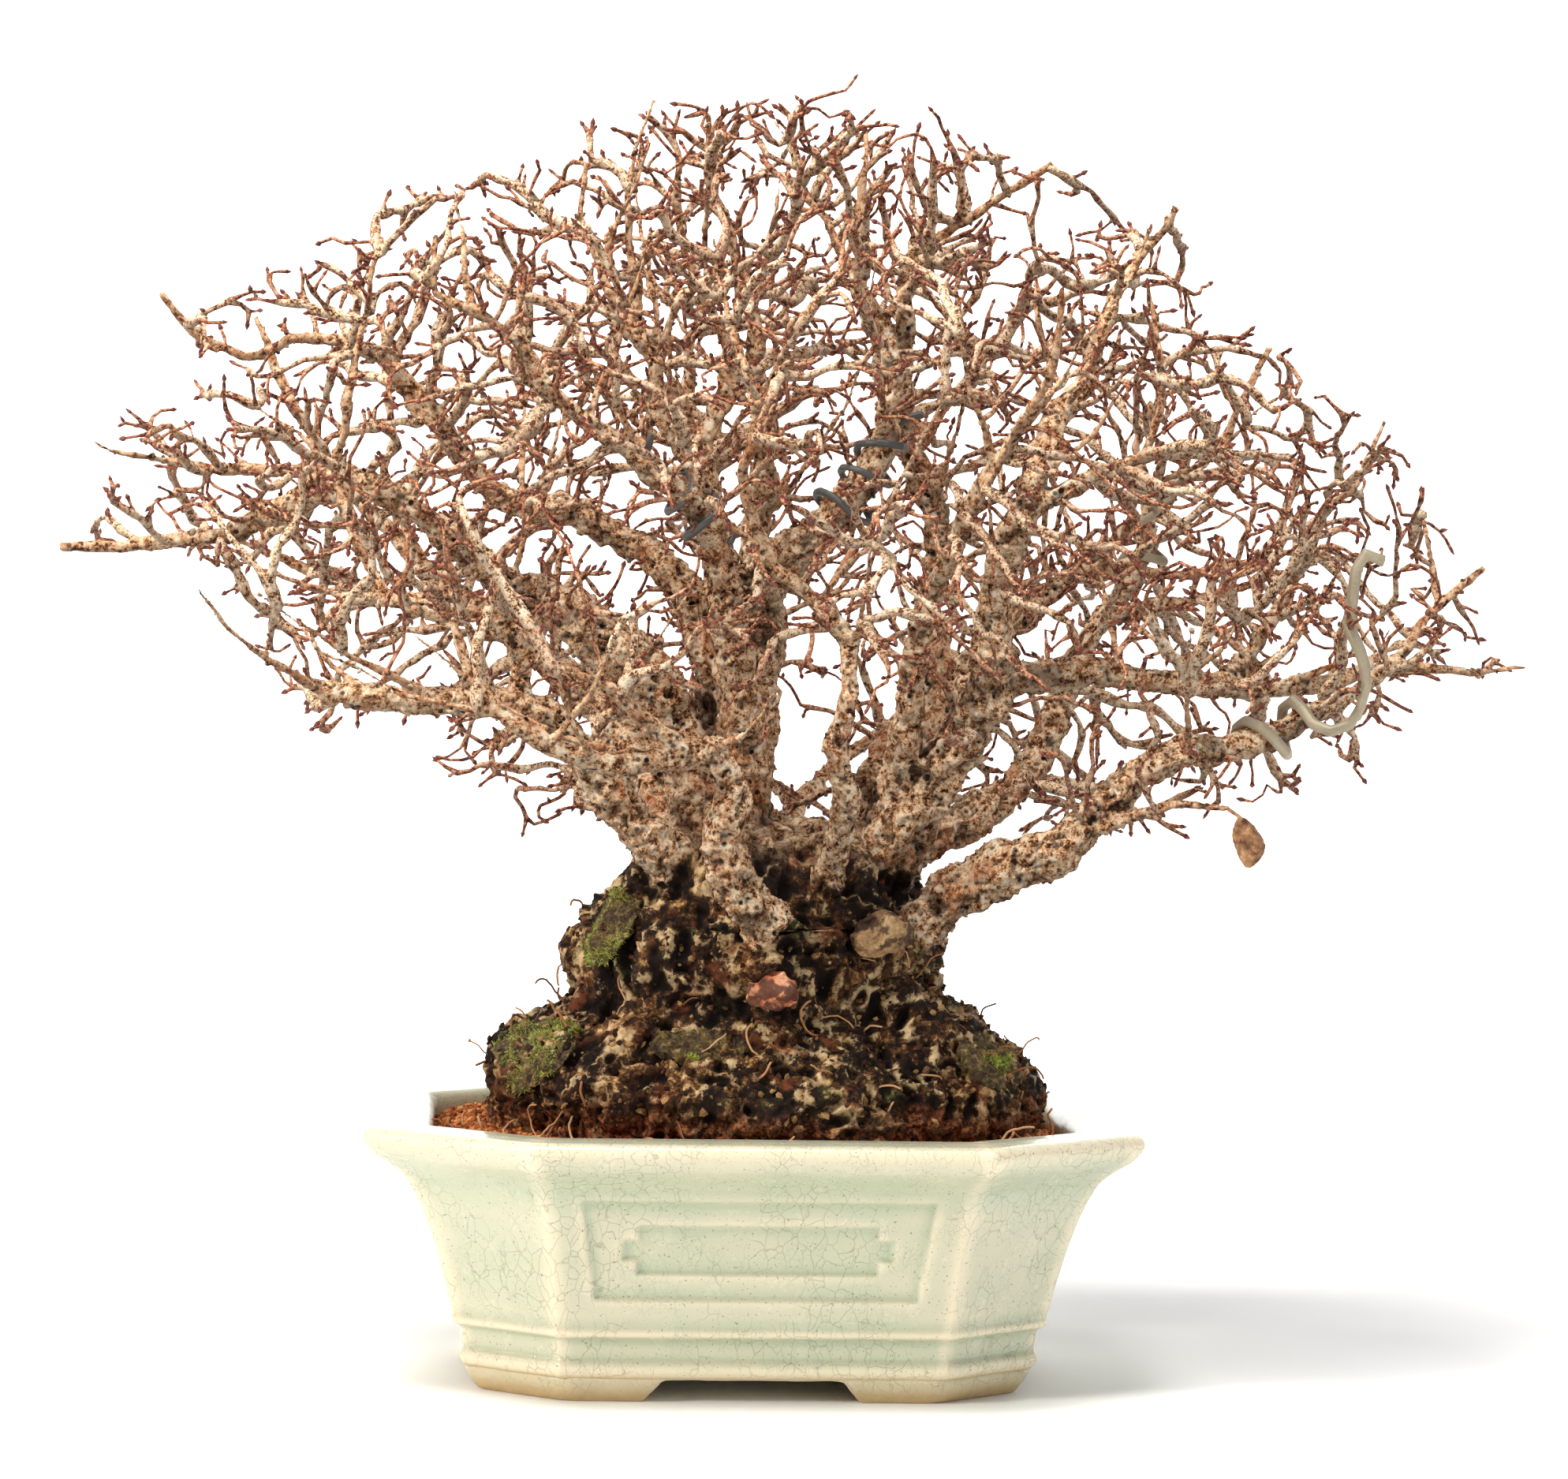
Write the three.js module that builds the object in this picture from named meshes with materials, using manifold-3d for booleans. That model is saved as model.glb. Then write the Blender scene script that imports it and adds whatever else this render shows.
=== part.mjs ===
// A leafless bonsai in a glazed octagonal pot.
// Millimetres, +Z up, the front of the tree faces -Y.
import * as THREE from "three";
import { mergeVertices } from "three/addons/utils/BufferGeometryUtils.js";
import Module from "manifold-3d";

const wasm = await Module();
wasm.setup();

// ---------------------------------------------------------------- sizes
// The pot, an oblong with its corners cut off.
const potWidth = 270;
const potDepth = 202;
const potHeight = 93.5;
const cornerCutX = 57;
const cornerCutY = 43;
const footHeight = 8;
const footThickness = 15;
const footGapFront = 62;
const footGapSide = 50;
const footGapFlare = 7;
const lipHeight = 12.5;
const lipOverhang = 8.5;
const lipWidth = 23;
const baseInset = 34.5;
const beltRelief = 2.6;
const wallThickness = 8;
const floorThickness = 8;
const panelHalfTop = 60;
const panelHalfBottom = 55;
const panelRelief = 1.3;
const panelBorder = 9;
const notchSize = 5;
const holeRadius = 11;
const holeSpread = 46;

// The mesh over each drainage hole and the wire clip that holds it.
const meshSide = 34;
const meshThickness = 1.2;
const meshCells = 5;
const meshBar = 1.6;
const clipRadius = 0.7;

// Every pair of pieces keeps this much air between them.
const gap = 0.35;

// Soil.
const soilDrop = 5.5;
const soilCrown = 4;
const soilWave = 1.2;

// The tree. Thickness scales every limb, spread moves limbs out from the trunk axis.
const limbThickness = 1;
const limbSides = 7;
const branchSides = 5;
const wireSides = 7;
const limbSpread = 1;
const treeStretch = 1;
const stretchFrom = 90;

// Moss, stones and wires.
const mossThickness = 2.2;
const wirePaleRadius = 2.2;
const wireDarkRadius = 1.5;
const leafThickness = 0.7;

// ---------------------------------------------------------------- solids from triangles
function solidFrom(positions, triangles) {
  const mesh = new wasm.Mesh({
    numProp: 3,
    vertProperties: new Float32Array(positions),
    triVerts: new Uint32Array(triangles),
  });
  mesh.merge();
  return new wasm.Manifold(mesh);
}

function solidFromGeometry(source) {
  const bare = source.clone();
  bare.deleteAttribute("normal");
  bare.deleteAttribute("uv");
  const merged = mergeVertices(bare, 1e-4);
  return solidFrom(merged.attributes.position.array, merged.index.array);
}

// Skin a stack of rings that all have the same number of points, and close both ends.
function skin(rings) {
  const count = rings[0].length;
  const positions = rings.flat(2);
  const triangles = [];
  for (let level = 0; level < rings.length - 1; level += 1) {
    for (let i = 0; i < count; i += 1) {
      const a = level * count + i;
      const b = level * count + ((i + 1) % count);
      const c = a + count;
      const d = b + count;
      triangles.push(a, b, d, a, d, c);
    }
  }
  const closeEnd = (ring, offset, flip) => {
    const centre = [0, 1, 2].map((axis) => ring.reduce((sum, point) => sum + point[axis], 0) / count);
    const hub = positions.length / 3;
    positions.push(...centre);
    for (let i = 0; i < count; i += 1) {
      const a = offset + i;
      const b = offset + ((i + 1) % count);
      if (flip) {
        triangles.push(hub, b, a);
      } else {
        triangles.push(hub, a, b);
      }
    }
  };
  closeEnd(rings[0], 0, true);
  closeEnd(rings[rings.length - 1], (rings.length - 1) * count, false);
  const solid = solidFrom(positions, triangles);
  // Rings may run either way round; the faces always end up pointing outward.
  return solid.volume() > 0 ? solid : solidFrom(positions, triangles.reverse());
}

// The largest separate piece of a solid, in case a cut left a crumb.
function largestPiece(solid) {
  const parts = solid.decompose();
  return parts.reduce((best, part) => (part.volume() > best.volume() ? part : best), parts[0]);
}

// True when two solids share some space.
function meets(a, b) {
  const boxA = a.boundingBox();
  const boxB = b.boundingBox();
  for (let axis = 0; axis < 3; axis += 1) {
    if (boxA.min[axis] > boxB.max[axis] || boxB.min[axis] > boxA.max[axis]) {
      return false;
    }
  }
  return a.intersect(b).volume() > 1e-6;
}

// Smooth, repeatable unevenness between -1 and 1.
function ripple(x, y, z) {
  const first = Math.sin(0.071 * x + 1.3) * Math.cos(0.083 * y - 0.6);
  const second = Math.sin(0.127 * y + 0.09 * z + 0.4) * Math.cos(0.111 * x + 0.05 * z);
  return 0.6 * first + 0.4 * second;
}

// ---------------------------------------------------------------- pot
// One level of the pot: an octagon moved inward by inset, all sides by the same distance.
function octagon(inset, z, rounding = 2.5) {
  const halfX = potWidth / 2;
  const halfY = potDepth / 2;
  const slant = Math.hypot(cornerCutX, cornerCutY);
  const normalX = cornerCutY / slant;
  const normalY = cornerCutX / slant;
  const reach = normalX * halfX + normalY * (halfY - cornerCutY) - inset;
  const sideX = halfX - inset;
  const sideY = halfY - inset;
  const sideEnd = (reach - normalX * sideX) / normalY;
  const frontEnd = (reach - normalY * sideY) / normalX;
  const corners = [
    [sideX, -sideEnd], [sideX, sideEnd], [frontEnd, sideY], [-frontEnd, sideY],
    [-sideX, sideEnd], [-sideX, -sideEnd], [-frontEnd, -sideY], [frontEnd, -sideY],
  ];
  const ring = [];
  corners.forEach((corner, index) => {
    const before = corners[(index + 7) % 8];
    const after = corners[(index + 1) % 8];
    for (const other of [before, after]) {
      const span = Math.hypot(other[0] - corner[0], other[1] - corner[1]);
      const part = rounding / span;
      ring.push([
        corner[0] + (other[0] - corner[0]) * part,
        corner[1] + (other[1] - corner[1]) * part,
        z,
      ]);
    }
  });
  return ring;
}

// Outside of the wall from the underside of the body to the underside of the lip.
const wallBottom = footHeight;
const lipBottom = potHeight - lipHeight;
const wallRise = lipBottom - wallBottom;
const soilTop = potHeight - soilDrop;
const wallProfile = [
  [baseInset + 2, 0],
  [baseInset, 0.03],
  [baseInset - 0.3, 0.07],
  [baseInset + 1.2, 0.09],
  [baseInset + 0.4, 0.19],
  [baseInset - beltRelief - 0.4, 0.21],
  [baseInset - beltRelief - 0.7, 0.235],
  [baseInset - beltRelief, 0.26],
  [baseInset - 3.8, 0.3],
  [baseInset - 5.8, 0.42],
  [baseInset - 9, 0.58],
  [baseInset - 13, 0.74],
  [baseInset - 16.2, 0.84],
  [baseInset - 19.4, 0.92],
  [baseInset - 22.8, 0.965],
  [lipOverhang, 1],
];

function wallInset(z) {
  const level = THREE.MathUtils.clamp((z - wallBottom) / wallRise, 0, 1);
  for (let i = 1; i < wallProfile.length; i += 1) {
    if (level <= wallProfile[i][1]) {
      const low = wallProfile[i - 1];
      const high = wallProfile[i];
      return low[0] + (high[0] - low[0]) * ((level - low[1]) / (high[1] - low[1]));
    }
  }
  return lipOverhang;
}

// The wall solid, pushed in by some depth; the panels are carved down to it.
function wallSolid(depth) {
  return skin(wallProfile.map(([inset, level]) => octagon(inset + depth, wallBottom + level * wallRise)));
}

function slab(outline, y0, y1) {
  const back = outline.map(([x, z]) => [x, y1, z]);
  const front = outline.map(([x, z]) => [x, y0, z]);
  return skin([back, front]);
}

function innerInset(z) {
  return Math.max(lipWidth + 1, wallInset(z) + wallThickness);
}

const potFloor = wallBottom + floorThickness;
const insideDepth = potHeight - 3 - potFloor;
const insideShares = [0, 0.04, 0.19, 0.39, 0.59, 0.75, 0.87, 1];
const insideLevels = insideShares.map((share) => potFloor + share * insideDepth);

function makePot() {
  const lip = skin([
    octagon(lipOverhang + 4, lipBottom - 1),
    octagon(lipOverhang - 1, lipBottom),
    octagon(4.6, lipBottom + 2.2, 4),
    octagon(2, lipBottom + 5, 4),
    octagon(0.4, lipBottom + 7.6, 4),
    octagon(0, potHeight - 3.1, 4),
    octagon(0.9, potHeight - 1.3, 4),
    octagon(3, potHeight - 0.3, 4),
    octagon(lipWidth / 2, potHeight, 4),
    octagon(lipWidth - 1.5, potHeight - 0.7, 3),
  ]);
  const cavityRings = insideLevels.map((z, i) => octagon(innerInset(z) + (i === 0 ? 3 : 0), z, 6));
  cavityRings.push(octagon(lipWidth - 1.4, potHeight - 0.6, 6));
  cavityRings.push(octagon(lipWidth - 2.4, potHeight + 2, 6));
  const cavity = skin(cavityRings);

  const panelTop = 72;
  const panelBottom = 37;
  const middle = (panelTop + panelBottom) / 2;
  const outerOutline = [
    [-panelHalfBottom, panelBottom], [-panelHalfTop, panelTop],
    [panelHalfTop, panelTop], [panelHalfBottom, panelBottom],
  ];
  const halfInner = panelHalfBottom - panelBorder;
  const top = panelTop - panelBorder;
  const bottom = panelBottom + panelBorder;
  const innerOutline = [
    [-halfInner, bottom + notchSize], [-halfInner, top - notchSize],
    [-halfInner + notchSize, top - notchSize], [-halfInner + notchSize, top],
    [halfInner - notchSize, top], [halfInner - notchSize, top - notchSize],
    [halfInner, top - notchSize], [halfInner, bottom + notchSize],
    [halfInner - notchSize, bottom + notchSize], [halfInner - notchSize, bottom],
    [-halfInner + notchSize, bottom], [-halfInner + notchSize, bottom + notchSize],
  ];
  const far = potDepth;
  let pot = wallSolid(0);
  const shallow = wallSolid(panelRelief);
  const deep = wallSolid(2 * panelRelief);
  for (const side of [-1, 1]) {
    const y0 = side < 0 ? -far : middle;
    const y1 = side < 0 ? -middle : far;
    pot = pot.subtract(slab(outerOutline, y0, y1).subtract(shallow));
    pot = pot.subtract(slab(innerOutline, y0, y1).subtract(deep));
  }
  pot = pot.add(lip);

  const footOuter = skin([
    octagon(baseInset + 6.5, 0),
    octagon(baseInset + 3.2, footHeight * 0.6),
    octagon(baseInset + 1.4, footHeight + 1.5),
  ]);
  const footInner = skin([
    octagon(baseInset + 6.5 + footThickness, -1),
    octagon(baseInset + 3 + footThickness, footHeight + 3),
  ]);
  let feet = footOuter.subtract(footInner);
  const gapOutline = (half) => [
    [-half - footGapFlare, -1], [-half, footHeight], [half, footHeight], [half + footGapFlare, -1],
  ];
  feet = feet.subtract(slab(gapOutline(footGapFront / 2), -far, far));
  const sideGap = gapOutline(footGapSide / 2);
  const right = sideGap.map(([y, z]) => [-far, y, z]);
  const left = sideGap.map(([y, z]) => [far, y, z]);
  feet = feet.subtract(skin([right, left]));
  pot = pot.add(feet).subtract(cavity);

  for (const side of [-1, 1]) {
    const hole = new THREE.CylinderGeometry(holeRadius, holeRadius, 3 * floorThickness, 20);
    hole.rotateX(Math.PI / 2);
    hole.translate(side * holeSpread, 0, potFloor);
    pot = pot.subtract(solidFromGeometry(hole));
  }
  return pot;
}

// A square plastic mesh laid over a drainage hole: bars both ways, joined where they cross.
function makeDrainageMesh(side) {
  const pitch = (meshSide - meshBar) / meshCells;
  let sheet = null;
  for (let bar = 0; bar <= meshCells; bar += 1) {
    const place = -meshSide / 2 + meshBar / 2 + bar * pitch;
    const lengthwise = new THREE.BoxGeometry(meshSide, meshBar, meshThickness);
    lengthwise.translate(side * holeSpread, place, potFloor + gap + meshThickness / 2);
    const crosswise = new THREE.BoxGeometry(meshBar, meshSide, meshThickness);
    crosswise.translate(side * holeSpread + place, 0, potFloor + gap + meshThickness / 2);
    const both = solidFromGeometry(lengthwise).add(solidFromGeometry(crosswise));
    sheet = sheet === null ? both : sheet.add(both);
  }
  return sheet;
}

// ---------------------------------------------------------------- tubes
// Points evenly spaced along a smooth curve through the given stations.
function evenPoints(stations, spacing) {
  const vectors = stations.map((station) => new THREE.Vector3(...station));
  const curve = new THREE.CatmullRomCurve3(vectors, false, "centripetal");
  const pieces = Math.max(2, Math.round(curve.getLength() / spacing));
  return curve.getSpacedPoints(pieces);
}

// A closed round tube along points; radiusAt takes the part of the way along, 0 to 1.
function tube(points, radiusAt, sides) {
  const rings = [];
  let across = null;
  points.forEach((point, index) => {
    const before = points[Math.max(index - 1, 0)];
    const after = points[Math.min(index + 1, points.length - 1)];
    const along = after.clone().sub(before).normalize();
    if (across === null) {
      const guide = Math.abs(along.z) < 0.9 ? new THREE.Vector3(0, 0, 1) : new THREE.Vector3(1, 0, 0);
      across = guide.cross(along).normalize();
    }
    across = across.clone().addScaledVector(along, -across.dot(along)).normalize();
    const up = along.clone().cross(across);
    const radius = radiusAt(index / (points.length - 1));
    const ring = [];
    for (let i = 0; i < sides; i += 1) {
      const angle = (2 * Math.PI * i) / sides;
      const offset = across.clone().multiplyScalar(radius * Math.cos(angle));
      offset.addScaledVector(up, radius * Math.sin(angle)).add(point);
      ring.push(offset.toArray());
    }
    rings.push(ring);
  });
  return skin(rings);
}

function wireTube(stations, radius, spacing) {
  return tube(evenPoints(stations, spacing), () => radius, wireSides);
}

// Butterfly clip: one wire down through the mesh and hole, its ends folded out below.
function makeClip(side) {
  const x = side * holeSpread;
  const pitch = (meshSide - meshBar) / meshCells;
  const leg = pitch;
  const below = wallBottom - 2 * clipRadius - gap;
  const above = potFloor + gap + meshThickness + clipRadius + gap;
  const fold = holeRadius + 4;
  const stations = [
    [x - fold, 0, below], [x - leg - 1.5, 0, below], [x - leg, 0, below + 2],
    [x - leg, 0, above - 1.6], [x - leg + 1.6, 0, above], [x + leg - 1.6, 0, above],
    [x + leg, 0, above - 1.6], [x + leg, 0, below + 2], [x + leg + 1.5, 0, below], [x + fold, 0, below],
  ];
  return wireTube(stations, clipRadius, 2.2);
}

// ---------------------------------------------------------------- root base
// Height, half width, centre in X, half depth, centre in Y of the root base.
const rootLevels = [
  [48, 52, 8, 38, 0],
  [58, 78, 8, 52, 0],
  [74, 92, 8, 62, -2],
  [86, 98, 8, 67, -3],
  [96, 99, 7, 68, -4],
  [106, 97, 4, 67, -4],
  [116, 93, 2, 64, -3],
  [123, 86, 2, 61, -3],
  [129, 76, 8, 58, -2],
  [136, 67, 4, 55, -2],
  [145, 65, 1, 52, -2],
  [154, 67, 4, 50, -2],
  [163, 64, 6, 48, 0],
  [173, 58, 5, 44, 2],
  [183, 50, 6, 38, 2],
  [192, 40, 6, 30, 2],
  [197, 24, 6, 18, 2],
];
const rootSegments = 28;

// Lumps of old root: direction in degrees, height, how far out, spread in degrees and in height.
const rootLumps = [
  [-118, 112, 7, 16, 14],
  [-96, 103, 9, 20, 9],
  [-70, 96, 7, 18, 12],
  [-44, 108, 8, 17, 16],
  [-150, 106, 7, 14, 16],
  [-172, 124, 5, 14, 10],
  [-88, 152, 8, 15, 11],
  [-55, 162, 6, 14, 12],
  [-128, 158, 6, 16, 14],
  [-20, 118, 6, 15, 10],
  [12, 104, 8, 18, 14],
  [40, 128, 7, 16, 16],
  [72, 104, 9, 18, 16],
  [104, 146, 7, 16, 18],
  [134, 106, 8, 18, 16],
  [160, 150, 5, 14, 16],
];
const rootHollows = [
  [-80, 128, 7, 24, 7],
  [-106, 134, 5, 12, 12],
  [-60, 130, 5, 10, 10],
  [-140, 134, 5, 12, 8],
  [25, 142, 5, 12, 10],
  [90, 126, 6, 14, 12],
  [150, 128, 5, 12, 10],
];

function stretched(z) {
  return z > stretchFrom ? stretchFrom + (z - stretchFrom) * treeStretch : z;
}

function bump(list, degrees, z) {
  let total = 0;
  for (const [direction, height, out, turn, rise] of list) {
    const away = ((degrees - direction + 540) % 360) - 180;
    total += out * Math.exp(-((away / turn) ** 2) - ((z - height) / rise) ** 2);
  }
  return total;
}

// The space the roots may fill: inside the pot wall, and free above the rim.
function rootRoom(clearance) {
  const snug = 2.5 - clearance;
  return skin([
    ...insideLevels.map((z) => octagon(innerInset(z) + snug, z, 6)),
    octagon(lipWidth + snug, potHeight + 2, 6),
    octagon(lipWidth - 16, potHeight + 7, 6),
    octagon(-60, potHeight + 30, 6),
    octagon(-60, 1000, 6),
  ]);
}

// The bark at one direction round the root base and one height, moved out by some clearance.
function barkPoint(degrees, z, clearance) {
  const last = rootLevels.length - 1;
  let upper = rootLevels.findIndex(([height]) => height >= z);
  upper = THREE.MathUtils.clamp(upper, 1, last);
  const low = rootLevels[upper - 1];
  const high = rootLevels[upper];
  const share = (z - low[0]) / (high[0] - low[0]);
  const between = low.map((value, i) => value + (high[i] - value) * share);
  const [, halfWidth, centreX, halfDepth, centreY] = between;
  const angle = (degrees * Math.PI) / 180;
  const flutes = 2.2 * Math.cos(7 * angle + 0.035 * z) + 1.6 * Math.cos(11 * angle - 0.05 * z);
  const ends = z <= rootLevels[0][0] || z >= rootLevels[last][0];
  const relief = ends ? 0 : flutes + bump(rootLumps, degrees, z) - bump(rootHollows, degrees, z);
  const out = clearance + relief - 4;
  return [
    centreX + (halfWidth + out) * Math.cos(angle),
    centreY + (halfDepth + out) * Math.sin(angle),
    stretched(z),
  ];
}

// The root base as one solid, grown outward by some clearance.
function rootBase(clearance) {
  const rings = rootLevels.map(([z], level) => {
    const ring = [];
    for (let i = 0; i < rootSegments; i += 1) {
      const point = barkPoint((360 * i) / rootSegments, z, clearance);
      if (level === 0) {
        point[2] -= clearance;
      }
      if (level === rootLevels.length - 1) {
        point[2] += clearance;
      }
      ring.push(point);
    }
    return ring;
  });
  return skin(rings).intersect(rootRoom(clearance));
}

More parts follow.
